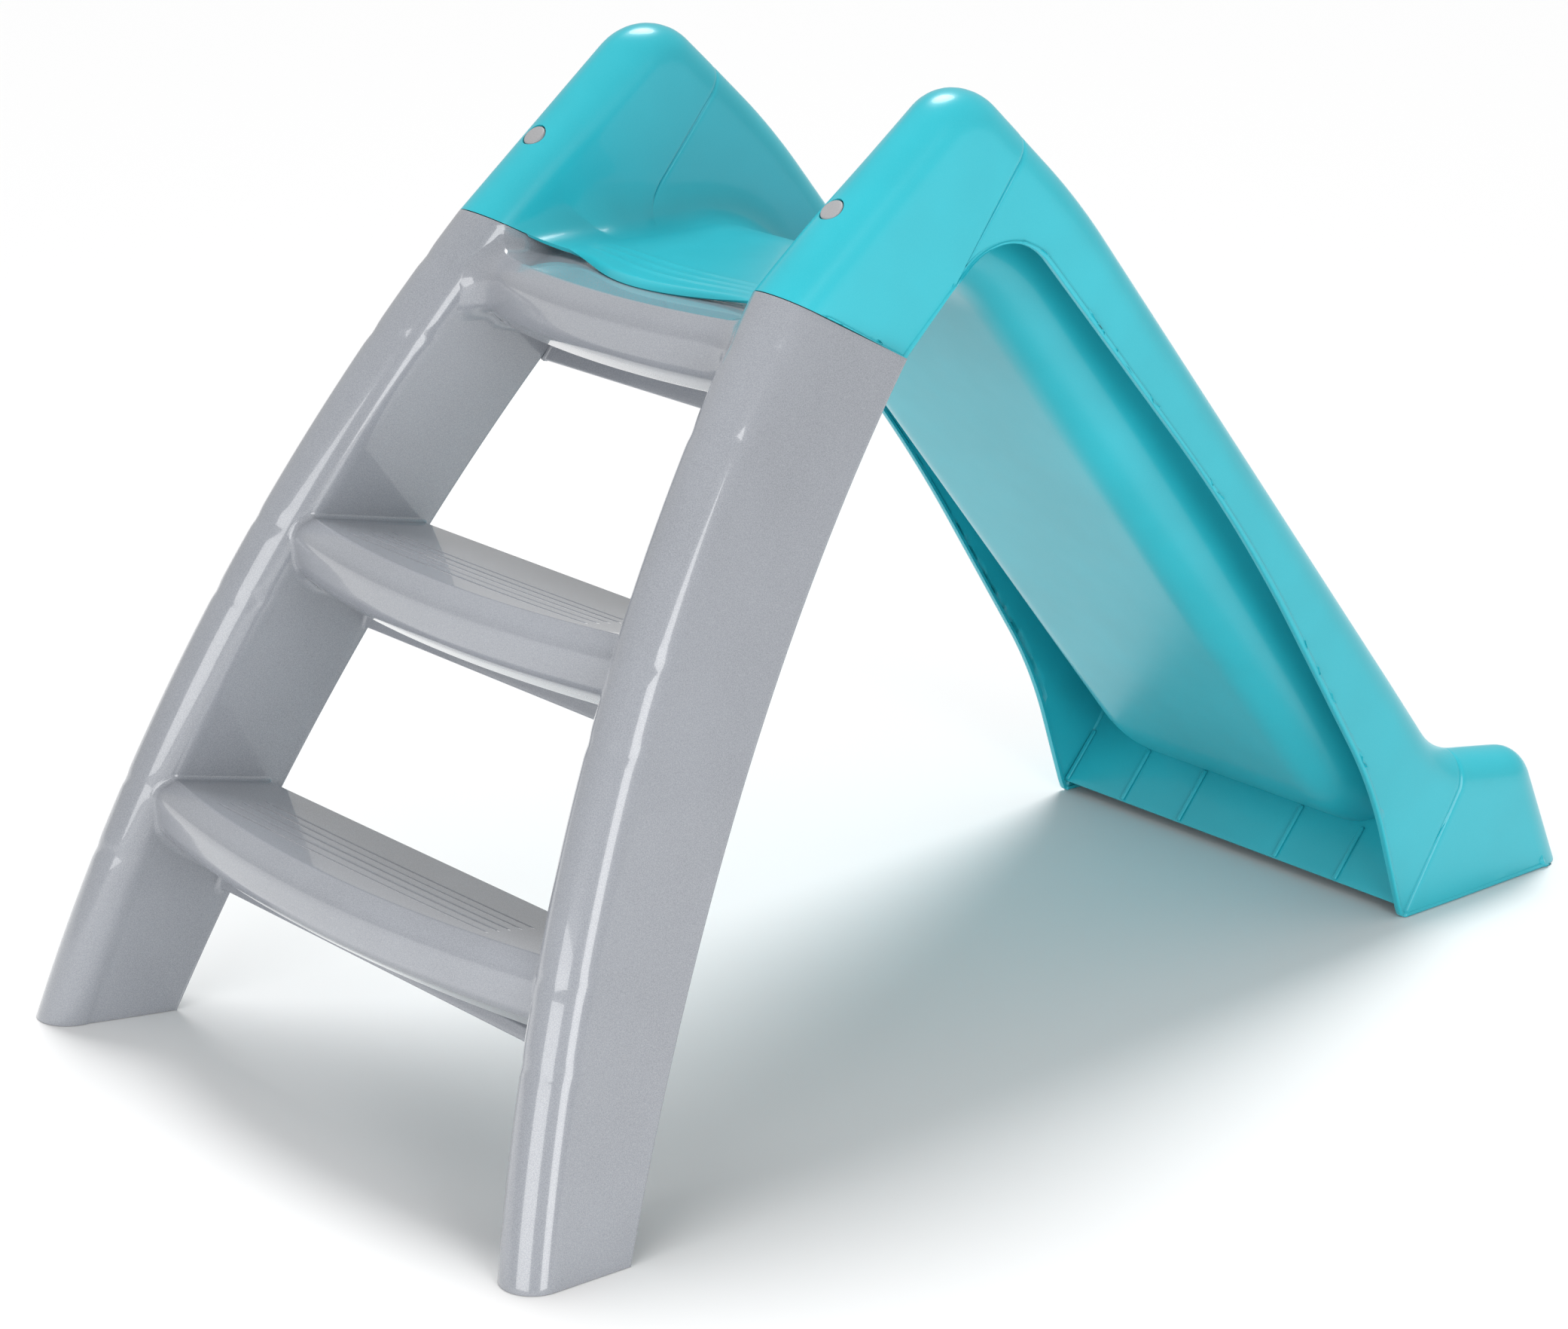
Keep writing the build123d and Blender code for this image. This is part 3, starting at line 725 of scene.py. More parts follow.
def groove_tree():
    """Sinks the flat points of a mesh that lie near any of a few even lines along X."""
    tree = bpy.data.node_groups.new("tread_grooves", "GeometryNodeTree")
    face = tree.interface
    face.new_socket("Geometry", in_out="INPUT", socket_type="NodeSocketGeometry")
    for label in ("Pitch", "Width", "Depth", "Count", "First", "Half length"):
        face.new_socket(label, in_out="INPUT", socket_type="NodeSocketFloat")
    face.new_socket("Material", in_out="INPUT", socket_type="NodeSocketMaterial")
    face.new_socket("Geometry", in_out="OUTPUT", socket_type="NodeSocketGeometry")
    nodes, links = tree.nodes, tree.links
    given = nodes.new("NodeGroupInput")

    def maths(operation, *values):
        """One Math node; each value is a number or another node's output."""
        node = nodes.new("ShaderNodeMath")
        node.operation = operation
        for socket, value in zip(node.inputs, values):
            if isinstance(value, (int, float)):
                socket.default_value = value
            else:
                links.new(value, socket)
        return node.outputs[0]

    def ramp(value, low, high):
        """One at the low end, falling smoothly to zero at the high end."""
        node = nodes.new("ShaderNodeMapRange")
        node.interpolation_type = "SMOOTHSTEP"
        links.new(value, node.inputs["Value"])
        for socket, end in (("From Min", low), ("From Max", high)):
            if isinstance(end, (int, float)):
                node.inputs[socket].default_value = end
            else:
                links.new(end, node.inputs[socket])
        node.inputs["To Min"].default_value = 1.0
        node.inputs["To Max"].default_value = 0.0
        return node.outputs["Result"]

    place, split = nodes.new("GeometryNodeInputPosition"), nodes.new("ShaderNodeSeparateXYZ")
    links.new(place.outputs[0], split.inputs[0])
    facing, split_facing = nodes.new("GeometryNodeInputNormal"), nodes.new("ShaderNodeSeparateXYZ")
    links.new(facing.outputs[0], split_facing.inputs[0])
    x, y = split.outputs["X"], split.outputs["Y"]
    steps_back = maths("DIVIDE", maths("SUBTRACT", y, given.outputs["First"]), given.outputs["Pitch"])
    last = maths("SUBTRACT", given.outputs["Count"], 1.0)
    nearest = maths("MINIMUM", maths("MAXIMUM", maths("ROUND", steps_back), 0.0), last)
    pitches_away = maths("ABSOLUTE", maths("SUBTRACT", steps_back, nearest))
    away = maths("MULTIPLY", pitches_away, given.outputs["Pitch"])
    half_width = maths("MULTIPLY", given.outputs["Width"], 0.5)
    dip = ramp(away, 0.0, half_width)
    past_end = maths("SUBTRACT", maths("ABSOLUTE", x), given.outputs["Half length"])
    within = ramp(past_end, -GROOVE_FADE, GROOVE_FADE)
    flat = maths("GREATER_THAN", split_facing.outputs["Z"], TREAD_FACING)
    deepest = maths("MULTIPLY", flat, given.outputs["Depth"])
    sink = maths("MULTIPLY", maths("MULTIPLY", dip, within), deepest)
    shift = nodes.new("ShaderNodeCombineXYZ")
    links.new(maths("MULTIPLY", sink, -1.0), shift.inputs["Z"])
    move = nodes.new("GeometryNodeSetPosition")
    links.new(given.outputs["Geometry"], move.inputs["Geometry"])
    links.new(shift.outputs[0], move.inputs["Offset"])
    end_tree(tree, move.outputs[0], given.outputs["Material"])
    return tree


grooves = groove_tree()
print("groove tree", len(grooves.nodes), "nodes")

# %% [markdown]
# The same grid makes all three steps. Only the two lower ones have grooves, since the platform covers
# most of the top one.

# %% Step shells
GROOVE_PITCH, GROOVE_WIDTH, GROOVE_DEPTH, GROOVE_COUNT = 0.0103, 0.0026, 0.0013, 5.0
GROOVE_SHARE, FIRST_GROOVE = 0.625, -8.0
STEP_WALL = 2.6

for name, size in STEPS.items():
    grid = step_grid(size, top_fillet if name == "top_step" else small_fillet)
    middle_row = grid.shape[0] // 2
    step = grid_mesh(f"{name}_shell", grid, (middle_row, 60, (0, 0, 1)), ladder_plastic, STEP_WALL)
    if name != "top_step":
        add_tree(step, grooves, {
            "Pitch": GROOVE_PITCH,
            "Width": GROOVE_WIDTH,
            "Depth": GROOVE_DEPTH,
            "Count": GROOVE_COUNT,
            "First": (size["crease"] + FIRST_GROOVE) * 0.001,
            "Half length": size["reach"] * GROOVE_SHARE * 0.001,
            "Material": ladder_plastic,
        }, first=True)
    step = freeze(step)
    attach(step, "ladder")
    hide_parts(name)

# %% [markdown]
# ## The chute
# The chute is one moulding: two hollow side walls with a half-round handrail on top, and a trough
# hung between them. Cutting it from blocks would lose the soft corners. So its section is drawn once,
# from the skirt's edge up the outside, over the handrail, down the inside and across the bed, and
# carried along the side view. The creases on its sides fall on rows of the grid, so they stay crisp.

# %% Side view of the chute
SIDE = dict(apex=(-98.7, 779.7), bend=(21.2, 668.0), dip=(451.0, 130.4), lip=(563.6, 111.4))
FRONT_LOW = np.array([-281.0, 630.0])
SHOULDER_WAY = np.array([math.cos(SHOULDER_SLOPE), math.sin(SHOULDER_SLOPE)])
TOE_WAY = np.array([LENGTH_HALF - SIDE["lip"][0], -SIDE["lip"][1]])
toe_end = np.array(SIDE["lip"]) + TOE_WAY * 1.4
crown = Outline(
    [FRONT_LOW - 60 * SHOULDER_WAY, SIDE["apex"], SIDE["bend"], SIDE["dip"], SIDE["lip"], toe_end],
    [54.0, 600.0, 90.0, 42.0],
)
bed = Outline(
    [
        (-300.0, PLATFORM_TOP), (-39.0, PLATFORM_TOP), (410.5, RUN_OUT_TOP),
        (587.0, RUN_OUT_TOP - 1), toe_end + (4, 0),
    ],
    [112.0, 148.0, 16.0],
)
hem = Outline(
    [(-166.0, 573.4), (-65.8, 672.4), (190.0, 380.0), (353.7, 124.2), (394.0, 0.0), (597.0, 0.0)],
    [58.0, 1500.0, 400.0, 9.0],
)
print("crown", round(crown.length), "bed", round(bed.length), "hem", round(hem.length), "mm long")

# %% [markdown]
# Every column of the chute's grid is a line along the slide. Its two ends are trimmed on their own,
# one at the seam and one at the floor. So a line's points are marked by their length along the crown,
# which is the top of the handrail seen from the side, and the marks are shifted a little near the ends.

# %% Lines along the handrail
TRIM_EASE, FRONT_EASE, TOE_EASE = 1.5, 160.0, 90.0


def matched(s, pairs):
    """Carries lengths along the crown to lengths along another line, through matching places."""
    ours, theirs = zip(*pairs)
    return np.interp(s, ours, theirs)


def root(values, marks):
    """The mark where values first turn from below to above zero."""
    above = np.nonzero((values[1:] > 0) & (values[:-1] <= 0))[0]
    i = above[0] if len(above) else 0
    share = -values[i] / (values[i + 1] - values[i]) if len(above) else 0.0
    return marks[i] + share * (marks[i + 1] - marks[i])


def crown_line(depth):
    """Start and end, along the crown, of the line that runs at this depth under it."""
    marks = np.linspace(0, crown.length, 3000)
    points = crown.at(marks) + depth * crown.inward(marks)
    start = root(seam_height(np.column_stack([marks, points])) - SEAM_GAP, marks)
    end = root(-points[:, 1], marks)
    return start, end


CREASE_TOP = crown.near(-33.0, 728.0)
FOLD_TOP = crown.near(473.0, 127.0)
crown_start, crown_end = crown_line(0.0)
print("crown trimmed to", round(crown_start), round(crown_end))


def row_shares(count):
    """Even rows, closer ones at the front lip and on either side of both creases."""
    whole = crown_end - crown_start
    front = np.r_[0, 0.6, 1.3, 2.2, 3.3, np.arange(4.6, 50.0, 1.4)] / whole
    even = np.r_[front, np.linspace(51.5 / whole, 1, count)]
    creases = [(mark - crown_start) / whole for mark in (CREASE_TOP, FOLD_TOP)]
    close = np.array([-3.0, -1.8, -1.2, -0.6, 0.0, 0.6, 1.2, 1.8, 3.0]) / whole
    for crease in creases:
        even = even[np.abs(even - crease) > close[-1]]
        even = np.r_[even, crease + close]
    return np.sort(even)


SHARES = row_shares(225)


def crown_marks(start, end):
    """Lengths along the crown for every row; each line starts and ends at its own trim."""
    marks = crown_start + (crown_end - crown_start) * SHARES
    early = np.clip(1 - (marks - crown_start) / FRONT_EASE, 0, 1) ** TRIM_EASE
    late = np.clip(1 - (crown_end - marks) / TOE_EASE, 0, 1) ** TRIM_EASE
    return marks + (start - crown_start) * early + (end - crown_end) * late


print("rows along the chute", len(SHARES))

# %% [markdown]
# The handrail is a half round cap. Two creases cross each side, where the shoulder and the run-out
# end. Between them the skirt lies a little deeper, as a pressed panel does, and the creases are cut as
# narrow grooves on rows of their own. Towards the toe the sides draw in slightly.

# %% Handrail and the creases on its side
TOE_DRAW_START = 380.0
PANEL_DEPTH, SIDE_CREASE, CREASE_WIDTH = 1.0, 2.0, 1.4


def outer_x(y):
    """Half width of the outside: straight, then drawn in a little towards the toe."""
    share = np.clip((y - TOE_DRAW_START) / (LENGTH_HALF - TOE_DRAW_START), 0, 1)
    return OUTER_X - (OUTER_X - TOE_X) * share**1.3


def crease_groove(marks):
    """One at either crease of the side, nothing elsewhere."""
    near = [np.exp(-(((marks - crease) / CREASE_WIDTH) ** 2)) for crease in (CREASE_TOP, FOLD_TOP)]
    return near[0] + near[1]


def panel_step(marks):
    """The skirt between the two creases lies a little deeper than the shoulder and the run-out."""
    into = np.clip((marks - CREASE_TOP + CREASE_WIDTH / 2) / CREASE_WIDTH, 0, 1)
    out = np.clip((marks - FOLD_TOP + CREASE_WIDTH / 2) / CREASE_WIDTH, 0, 1)
    return PANEL_DEPTH * (into - out) + SIDE_CREASE * crease_groove(marks)


def cap_column(angle):
    """A line along the handrail; angle 0 is its outer side and 180 degrees its inner side."""
    depth = CAP_RADIUS * (1 - math.sin(angle))
    marks = crown_marks(*crown_line(depth))
    points = crown.at(marks) + depth * crown.inward(marks)
    half = (outer_x(points[:, 0]) - INNER_X) / 2
    x = INNER_X + half + half * math.cos(angle)
    if angle < math.pi / 2:
        x = x - panel_step(marks) * math.cos(angle) ** 0.5
    return np.column_stack([x, points]), marks


print("handrail", OUTER_X - INNER_X, "mm wide at the top,", TOE_X - INNER_X, "at the toe")

# %% [markdown]
# The outside wall runs from the hem up to the handrail. The hem is the free lower edge: first along
# the seam, then round the arch and along the floor. It is rolled outwards into a small bead, which
# stiffens a real moulding. Places up on the crown and down on the hem are matched in pairs, so that
# the grid's rows stay nearly square to both.

# %% Outside wall and hem
HEM_PROFILE = [
    (-4.5, 0.3), (-2.0, 0.0), (0.0, 0.0), (0.9, 0.4), (1.4, 1.3), (1.4, 3.2), (1.0, 4.2), (0.2, 4.8),
]
HEM_ROOM, HEM_STEP = 14.0, 1.5


def outer_wall(runs):
    """Columns from the hem up to the handrail's outer side."""
    top, marks = cap_column(0.0)
    seam_corner = hem.at(0.0)
    seam_run = np.linalg.norm(top[0, 1:] - seam_corner)
    fold_foot = hem.near(397.0, 0.0)
    lower = matched(marks, [
        (marks[0], -seam_run),
        (crown.near(-236.0, 667.0), 0.0),
        (CREASE_TOP - 95, hem.near(-128.0, 610.0)),
        (CREASE_TOP, hem.near(-122.0, 616.0) + 4.0),
        (crown.near(0.0, 690.0), hem.near(-66.0, 650.0)),
        (crown.near(190.0, 457.0), hem.near(135.0, 443.0)),
        (crown.near(400.0, 194.0), hem.near(353.0, 130.0)),
        (FOLD_TOP - 6, fold_foot - 6),
        (FOLD_TOP + 6, fold_foot + 6),
        (marks[-1], hem.length),
    ])
    along_seam = seam_corner + np.outer(np.clip(-lower, 0, None) / seam_run, top[0, 1:] - seam_corner)
    edge = np.where(lower[:, None] < 0, along_seam, hem.at(np.clip(lower, 0, None)))
    edge[-1] = (top[-1, 1], 0.0)
    columns = []
    step = panel_step(marks)
    for share in np.linspace(0, 1, runs, endpoint=False):
        points = edge + (top[:, 1:] - edge) * share
        x = outer_x(points[:, 0]) - step
        columns.append(np.column_stack([x, points]))
    lift = top[:, 1:] - edge
    reach = np.linalg.norm(lift, axis=1, keepdims=True)
    lift = lift / np.maximum(reach, 1e-6)
    room = np.clip(reach / HEM_ROOM, 0, 1)
    hem_roll = []
    for outward, up in HEM_PROFILE:
        points = edge + lift * up * room
        x = outer_x(points[:, 0]) - step + outward * room[:, 0]
        hem_roll.append(np.column_stack([x, points]))
    first = HEM_PROFILE[-1][1] + HEM_STEP
    columns[0] = np.column_stack([columns[0][:, 0], edge + lift * first * room])
    return hem_roll + columns


outside = outer_wall(11)
print("outside wall", len(outside), "columns")

# %% [markdown]
# The bed runs level over the platform, down the slide and out along the floor. As on the outside,
# places on the crown are matched with places on the bed. The first one is the platform's front lip,
# worked out from where the platform's height meets the seam.

# %% Lines along the bed
LIP_Y = SEAM[0] - (PLATFORM_TOP - SEAM[1]) / math.tan(SEAM_SLOPE) + SEAM_GAP / math.sin(SEAM_SLOPE)


def bed_marks(marks):
    """Lengths along the bed that go with lengths along the crown."""
    return matched(marks, [
        (marks[0], bed.near(LIP_Y, PLATFORM_TOP)),
        (marks[0] + 50.0, bed.near(LIP_Y + 50.0, PLATFORM_TOP)),
        (CREASE_TOP, bed.near(-134.0, PLATFORM_TOP)),
        (crown.near(21.0, 668.0), bed.near(-62.0, PLATFORM_TOP)),
        (crown.near(190.0, 457.0), bed.near(124.0, 405.0)),
        (crown.near(400.0, 194.0), bed.near(334.0, 142.0)),
        (crown.near(451.0, 140.0), bed.near(405.0, 74.0)),
        (crown.near(540.0, 115.0), bed.near(530.0, 47.0)),
        (crown.near(585.0, 66.0), bed.near(590.0, 40.0)),
        (marks[-1], bed.near(*crown.at(crown_end))),
    ])


def spread(line, count):
    """Even points along a line of (x, y, z) points, for every row at once."""
    length = np.linalg.norm(np.diff(line, axis=0), axis=2)
    length = np.concatenate([np.zeros((1, line.shape[1])), np.cumsum(length, axis=0)])
    made = np.empty((count, *line.shape[1:]))
    for row in range(line.shape[1]):
        want = np.linspace(0, length[-1, row], count)
        for k in range(3):
            made[:, row, k] = np.interp(want, length[:, row], line[:, row, k])
    return made


print("platform lip at y =", round(LIP_Y, 1), "mm")

# %% [markdown]
# Inside, the section goes from the handrail's crest down the inner wall, round the trough's corner and
# across the bed. Close to the platform's front the wall is too low for a straight part, so there the
# handrail and the corner are two circles that touch, and the edge becomes one smooth S. The platform's
# lip bows forward as a tongue and rolls down, with three low ridges behind it.

# %% Inner wall, corner and bed
BED_FILLET = 42.0
TONGUE, TONGUE_FADE, LIP_DROP, LIP_ROLL = 25.0, 90.0, 5.6, 4.6
RIDGE_HEIGHT, RIDGE_WIDTH, RIDGE_PLACES = 1.2, 1.7, (17.0, 27.0, 37.0)
FACE_TOP, FACE_FADE = 58.0, 22.0
INNER_CREASE, CREASE_END, CREASE_FADE = 2.2, 20.0, 8.0


def inner_columns(count, bed_runs):
    """From the handrail's crest down the inner wall, round the corner and across the bed."""
    crest, marks = cap_column(math.pi / 2)
    waist = cap_column(math.pi)[0][:, 1:]
    face = np.clip((FACE_TOP - crest[:, 2]) / FACE_FADE, 0, 1)[:, None]
    floor = bed.at(bed_marks(marks))
    floor = floor + (crest[:, 1:] - floor) * face
    centre = waist + (crest[:, 1:] - waist) * face
    up = centre - floor
    height = np.linalg.norm(up, axis=1)
    up /= np.maximum(height, 1e-6)[:, None]
    half = (outer_x(crest[:, 1]) - INNER_X) / 2
    short = np.clip(BED_FILLET - height, 0, None)
    lean = np.arcsin(short / (half + BED_FILLET))
    fillet_x = INNER_X + half - np.sqrt((half + BED_FILLET) ** 2 - short**2)
    tall, even = crest[:, 1:] - centre, up * half[:, None]
    line = []
    for share in np.linspace(0, 1, 17):
        angle = math.pi / 2 + (math.pi / 2 - lean) * share
        rise = (tall + (even - tall) * share) * np.sin(angle)[:, None]
        line.append(np.column_stack([INNER_X + half + half * np.cos(angle), centre + rise]))
    for share in np.linspace(0, 1, 17):
        angle = -lean - (math.pi / 2 - lean) * share
        rise = up * (BED_FILLET * (1 + np.sin(angle)))[:, None]
        line.append(np.column_stack([fillet_x + BED_FILLET * np.cos(angle), floor + rise]))
    line = spread(np.array(line), count)
    rise = np.linalg.norm(line[..., 1:] - floor, axis=2)
    fade = np.clip((rise - CREASE_END) / CREASE_FADE, 0, 1) * np.linspace(0, 1, count)[:, None] ** 0.3
    line[..., 0] += INNER_CREASE * crease_groove(marks) * fade * (marks < FOLD_TOP - 30)
    back = floor[:, 0] - floor[0, 0]
    tongue = TONGUE * np.clip(1 - back / TONGUE_FADE, 0, 1) ** 2
    roll = LIP_DROP * np.clip(1 - back / LIP_ROLL, 0, 1) ** 2
    ridges = sum(np.exp(-(((back - place) / RIDGE_WIDTH) ** 2)) for place in RIDGE_PLACES)
    columns = []
    for share in np.linspace(1, 0, bed_runs + 1)[1:]:
        middle = (1 - share**2) ** 2
        y = floor[:, 0] - tongue * middle
        z = floor[:, 1] + (RIDGE_HEIGHT * ridges - roll) * (1 - share**4)
        columns.append(np.column_stack([fillet_x * share, y, z]))
    return list(line[1:]) + columns


inside = inner_columns(38, 16)
print("inner wall and half the bed", len(inside), "columns")

# %% [markdown]
# The outside wall, the outer half of the handrail and the inside join into half a section. The other
# half is its mirror image, and both share the middle column.

# %% Whole chute grid
def chute_grid():
    """The chute's points, rows along the slide and columns across it."""
    caps = [cap_column(angle)[0] for angle in np.linspace(0, math.pi / 2, 11)]
    columns = outside + caps + inside
    half = np.array(columns).transpose(1, 0, 2)
    half[..., 2] = np.maximum(half[..., 2], 0.0)
    return np.concatenate([half, mirrored(half[:, -2::-1])], axis=1)


chute_points = chute_grid()
print("chute grid", chute_points.shape)

# %% [markdown]
# The grid becomes the whole chute in one go, and takes the place of all the CAD model's chute parts.

# %% Chute shell
middle_column = chute_points.shape[1] // 2
chute = grid_mesh("chute_shell", chute_points, (180, middle_column, (0, 0.7, 0.7)), chute_plastic, rim=0)
chute = freeze(chute, 40)


RIM_HALF, RIM_DEPTH, MOST_TRIM = INNER_X - 3, 23.0, 4.0


def trim_to_seam(piece):
    """The wall's inner edge may lean over the seam: this brings the whole rim into one plane."""
    places = np.empty(len(piece.data.vertices) * 3)
    piece.data.vertices.foreach_get("co", places)
    points = places.reshape(-1, 3)
    short = SEAM_GAP - seam_height(points * 1000)
    short[(np.abs(points[:, 0]) * 1000 < RIM_HALF) | (points[:, 1] * 1000 > SEAM[0] + RIM_DEPTH)] = 0
    square = np.array([0, math.sin(SEAM_SLOPE), math.cos(SEAM_SLOPE)])
    points += np.clip(short, 0, MOST_TRIM)[:, None] * 0.001 * square
    piece.data.vertices.foreach_set("co", places)


trim_to_seam(chute)
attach(chute, "chute")
CHUTE_NODES = ["entry_platform", "slide_bed", "run_out_bed", "front_lip"]
for side in ("left", "right"):
    CHUTE_NODES += [f"{side}_{part}" for part in ("shoulder", "handrail", "skirt", "run_out_side")]
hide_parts(*CHUTE_NODES)

# %% [markdown]
# The buttons come through round holes in the shoulders. A boolean with a short round bar cuts each
# hole clean through the skin, as a punch does, and its wall stays square to the surface.

# %% Button holes
BUTTON_AXIS = Vector((0, -math.sin(SHOULDER_SLOPE), math.cos(SHOULDER_SLOPE)))
BUTTON_Y = -212.0
BUTTON_Z = FRONT_LOW[1] + (BUTTON_Y - FRONT_LOW[0]) * math.tan(SHOULDER_SLOPE)
BUTTON_X, HOLE_RADIUS, DISC_RADIUS = 182.0, 10.4, 9.4
button_place = {
    "right": Vector((BUTTON_X, BUTTON_Y, BUTTON_Z)) * 0.001,
    "left": Vector((-BUTTON_X, BUTTON_Y, BUTTON_Z)) * 0.001,
}


def turned(name, profile, place, material, sides=64):
    """A turned piece: a profile of (radius, height) in mm, spun round the button's axis."""
    turn = BUTTON_AXIS.to_track_quat("Z", "Y")
    verts, faces = [], []
    for radius, height in profile:
        for k in range(sides):
            angle = 2 * math.pi * k / sides
            local = Vector((radius * math.cos(angle), radius * math.sin(angle), height)) * 0.001
            verts.append(turn @ local + place)
    for r in range(len(profile) - 1):
        for k in range(sides):
            a, b = r * sides + k, r * sides + (k + 1) % sides
            faces.append((a, b, b + sides, a + sides))
    faces.append(tuple(reversed(range(sides))))
    faces.append(tuple(range((len(profile) - 1) * sides, len(profile) * sides)))
    return add_mesh(name, verts, faces, material)


for side, place in button_place.items():
    punch = turned("punch", [(HOLE_RADIUS, -16), (HOLE_RADIUS, 8)], place, chute_plastic, 72)
    cut = chute.modifiers.new("hole", "BOOLEAN")
    cut.operation = "DIFFERENCE"
    cut.solver = "EXACT"
    cut.object = punch
    freeze(chute, 40)
    bpy.data.objects.remove(punch)

# %% [markdown]
# ## The buttons
# A snap button is a thick disc on a springy plastic blade that is fixed inside the ladder's neck.
# The disc is turned with a soft edge and a faint dome, and the blade is a flat bar under it.

# %% Button discs and blades
DISC_PROFILE = [
    (DISC_RADIUS - 1.4, -8.5), (DISC_RADIUS, -8.3), (DISC_RADIUS, -1.6), (DISC_RADIUS - 0.15, -1.05),
    (DISC_RADIUS - 0.5, -0.68), (DISC_RADIUS - 1.0, -0.5), (6.0, -0.36), (3.0, -0.28), (0.8, -0.26),
]
BLADE_LENGTH, BLADE_WIDTH, BLADE_THICK, BLADE_TOP = 55.0, 15.0, 2.0, -9.2
for side, place in button_place.items():
    disc = turned(f"{side}_button_disc", DISC_PROFILE, place, button_plastic)
    disc = freeze(disc)
    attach(disc, f"{side}_snap_button")
    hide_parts(f"{side}_snap_button")
    along = Vector((0, math.cos(SHOULDER_SLOPE), math.sin(SHOULDER_SLOPE)))
    across, outline = Vector((1, 0, 0)), []
    half = BLADE_WIDTH / 2
    for k in range(13):
        angle = math.pi * k / 12
        outline.append((half * math.cos(angle), half * math.sin(angle)))
    outline += [(-half, -BLADE_LENGTH / 2), (-half, -BLADE_LENGTH)]
    outline += [(half, -BLADE_LENGTH), (half, -BLADE_LENGTH / 2)]
    verts = [
        place + (across * u + along * v + BUTTON_AXIS * w) * 0.001
        for w in (BLADE_TOP - BLADE_THICK, BLADE_TOP)
        for u, v in outline
    ]
    count = len(outline)
    faces = [tuple(reversed(range(count))), tuple(range(count, 2 * count))]
    faces += [(k, (k + 1) % count, (k + 1) % count + count, k + count) for k in range(count)]
    blade = add_mesh(f"{side}_button_blade", verts, faces, button_plastic)
    soften = blade.modifiers.new("rim", "BEVEL")
    soften.width, soften.segments = 0.0004, 2
    blade = freeze(blade)
    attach(blade, f"{side}_snap_button")

# %% [markdown]
# ## The apron under the run-out
# A slanting panel closes the back of the run-out between the skirts, stiffened by narrow upright
# ribs. The ribs repeat, so Geometry Nodes stand one on each of a few evenly spaced points, to the
# left and to the right, and the result is made a plain mesh.

# %% Apron panel
APRON_LOW = np.array([395.0, 11.0])
APRON_SLOPE, APRON_LENGTH, APRON_INSET = math.radians(50.0), 84.0, 3.4
APRON_MIDDLE, CORNER_RISE, APRON_OVERLAP = 53.0, 34.0, 6.0
apron_way = np.array([math.cos(APRON_SLOPE), math.sin(APRON_SLOPE)])


def apron_top(x):
    """How far up the panel goes before it meets the bed: higher towards the trough's corners."""
    half = BED_FILLET + WALL
    into = np.clip((np.abs(x) - (INNER_X + WALL - half)) / half, 0, 1)
    return APRON_MIDDLE + CORNER_RISE * (1 - np.sqrt(1 - np.minimum(into, 0.995) ** 2))


panel_x = np.linspace(-OUTER_X + APRON_INSET, OUTER_X - APRON_INSET, 141)
panel = np.empty((len(panel_x), 14, 3))
for i, x in enumerate(panel_x):
    top = min(float(apron_top(x)) + APRON_OVERLAP, APRON_LENGTH)
    for j, share in enumerate(np.linspace(0, 1, 14)):
        y, z = APRON_LOW + apron_way * top * share
        panel[i, j] = (x, y, z)
apron = freeze(grid_mesh("rear_apron_panel", panel, (70, 6, (0, -1, 0.8)), chute_plastic, rim=0.6))
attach(apron, "chute")
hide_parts("rear_apron")

# %% [markdown]
# A rib is a narrow bar. The tree stands bars on two lines of points, one to each side of the middle,
# and the finished bars are tilted onto the panel.

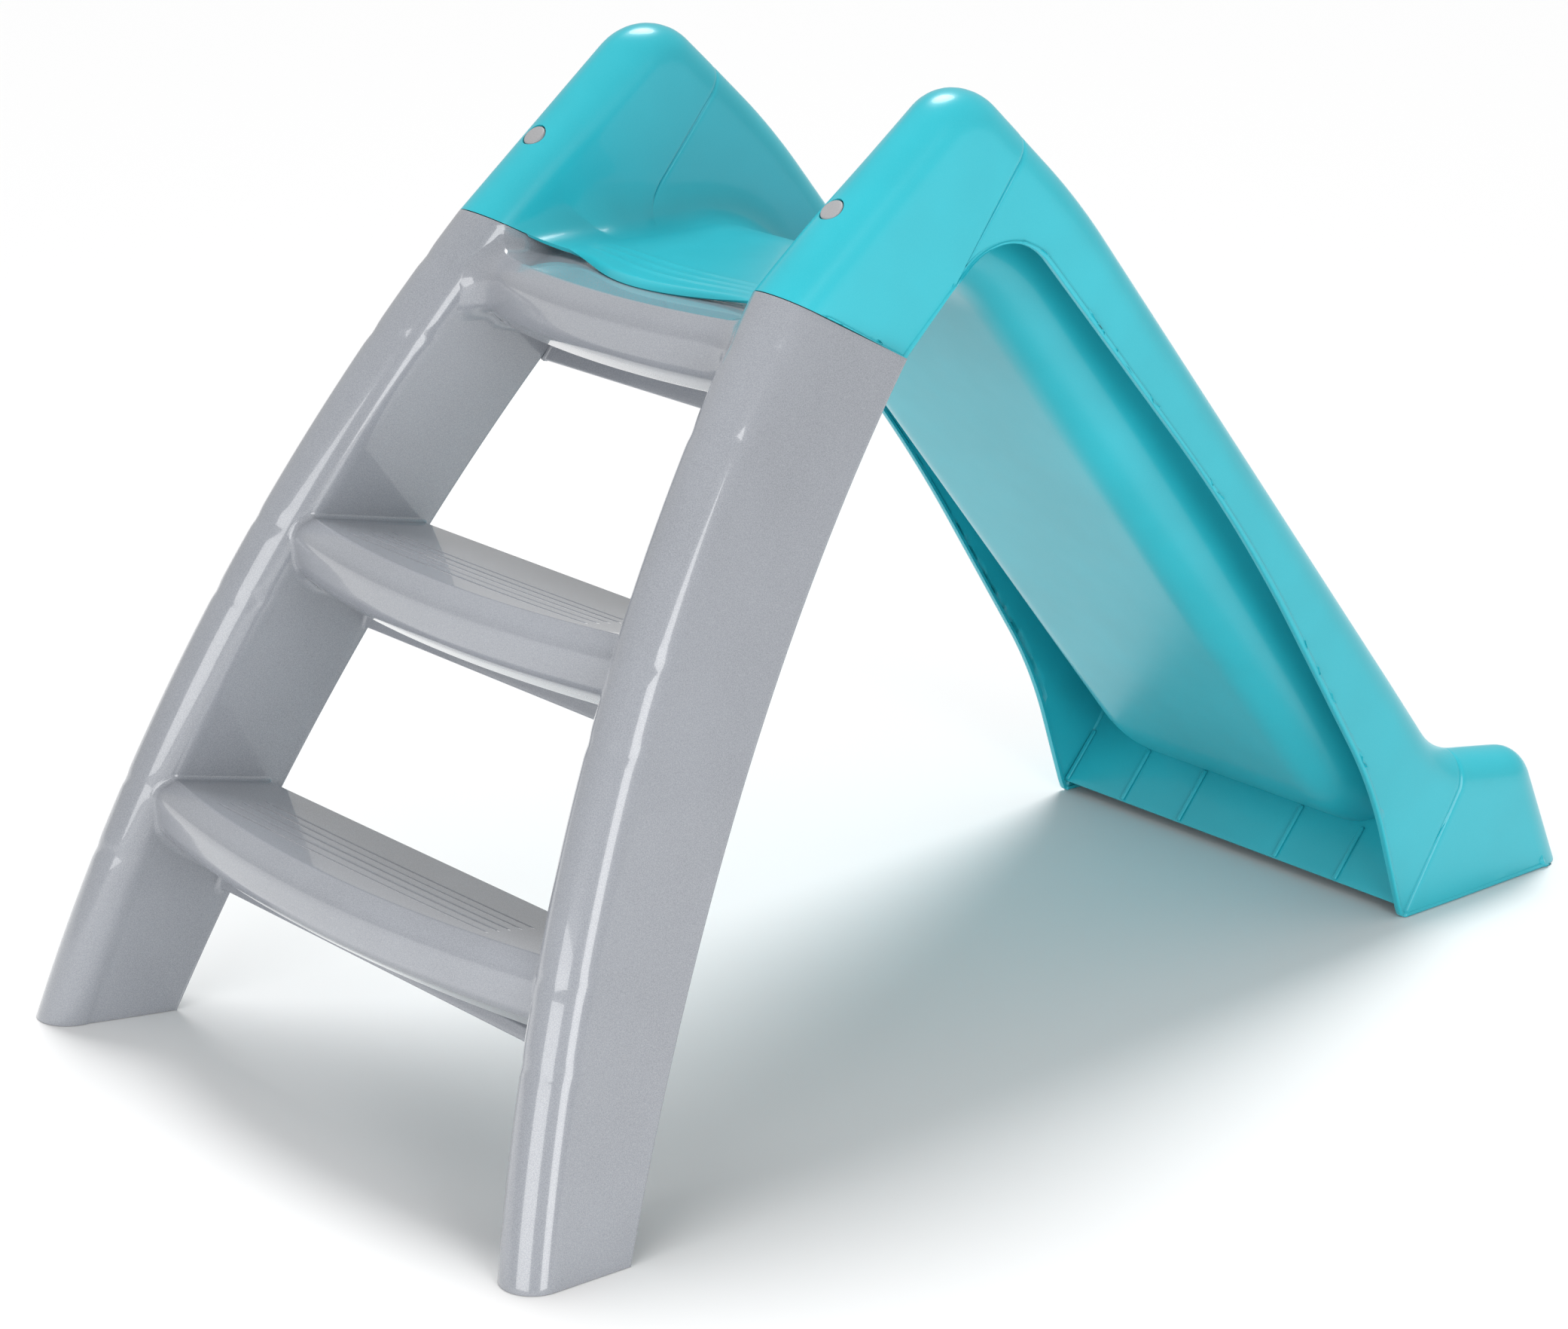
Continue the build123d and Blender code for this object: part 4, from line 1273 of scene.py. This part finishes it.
# %% Rib tree
def rib_tree():
    """Bars on a line of points to the right of the middle, and on its mirror image."""
    tree = bpy.data.node_groups.new("apron_ribs", "GeometryNodeTree")
    face = tree.interface
    for label in ("First", "Pitch", "Count", "Width", "Height", "Length"):
        kind = "NodeSocketInt" if label == "Count" else "NodeSocketFloat"
        face.new_socket(label, in_out="INPUT", socket_type=kind)
    face.new_socket("Material", in_out="INPUT", socket_type="NodeSocketMaterial")
    face.new_socket("Geometry", in_out="OUTPUT", socket_type="NodeSocketGeometry")
    nodes, links = tree.nodes, tree.links
    given = nodes.new("NodeGroupInput")
    both = nodes.new("GeometryNodeJoinGeometry")
    size = nodes.new("ShaderNodeCombineXYZ")
    for axis, label in zip("XYZ", ("Width", "Length", "Height")):
        links.new(given.outputs[label], size.inputs[axis])
    bar = nodes.new("GeometryNodeMeshCube")
    bar.inputs["Vertices X"].default_value = 3
    bar.inputs["Vertices Y"].default_value = 12
    links.new(size.outputs[0], bar.inputs["Size"])
    for sign in (1.0, -1.0):
        ends = []
        for label in ("First", "Pitch"):
            flip, vector = nodes.new("ShaderNodeMath"), nodes.new("ShaderNodeCombineXYZ")
            flip.operation = "MULTIPLY"
            links.new(given.outputs[label], flip.inputs[0])
            flip.inputs[1].default_value = sign
            links.new(flip.outputs[0], vector.inputs["X"])
            ends.append(vector.outputs[0])
        line = nodes.new("GeometryNodeMeshLine")
        links.new(given.outputs["Count"], line.inputs["Count"])
        links.new(ends[0], line.inputs["Start Location"])
        links.new(ends[1], line.inputs["Offset"])
        stand = nodes.new("GeometryNodeInstanceOnPoints")
        links.new(line.outputs[0], stand.inputs["Points"])
        links.new(bar.outputs[0], stand.inputs["Instance"])
        links.new(stand.outputs[0], both.inputs[0])
    end_tree(tree, both.outputs[0], given.outputs["Material"])
    return tree


FIRST_RIB, RIB_PITCH, RIB_COUNT = 0.060, 0.0725, 3
RIB_HEIGHT, RIB_WIDTH, RIB_LENGTH = 0.0032, 0.004, 0.052
ribs = add_object("apron_ribs", bpy.data.meshes.new("apron_ribs"))
add_tree(ribs, rib_tree(), {
    "First": FIRST_RIB,
    "Pitch": RIB_PITCH,
    "Count": RIB_COUNT,
    "Width": RIB_WIDTH,
    "Height": RIB_HEIGHT,
    "Length": RIB_LENGTH,
    "Material": chute_plastic,
})
soften = ribs.modifiers.new("rim", "BEVEL")
soften.width, soften.segments = 0.0009, 3
soften.limit_method = "ANGLE"
ribs = freeze(ribs)
across_panel = Vector((0, -math.sin(APRON_SLOPE), math.cos(APRON_SLOPE)))
middle = Vector((0, *(APRON_LOW + apron_way * (RIB_LENGTH * 500 + 1.0)))) * 0.001 + across_panel * 0.0006
tilt = Vector((0, *apron_way)).to_track_quat("Y", "Z").to_matrix()
for vertex in ribs.data.vertices:
    vertex.co = tilt @ vertex.co + middle
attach(ribs, "chute")

# %% [markdown]
# ## The necks
# The two hollow necks reach up from the ladder inside the shoulders. They only show when the chute
# is lifted off, so the CAD's own solids stay, with the ladder's finish.

# %% Necks take the ladder's finish
for side in ("left", "right"):
    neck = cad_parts[f"{side}_neck"]
    for slot in neck.material_slots:
        slot.material = ladder_plastic
    print(neck.name, len(neck.data.polygons), "faces")
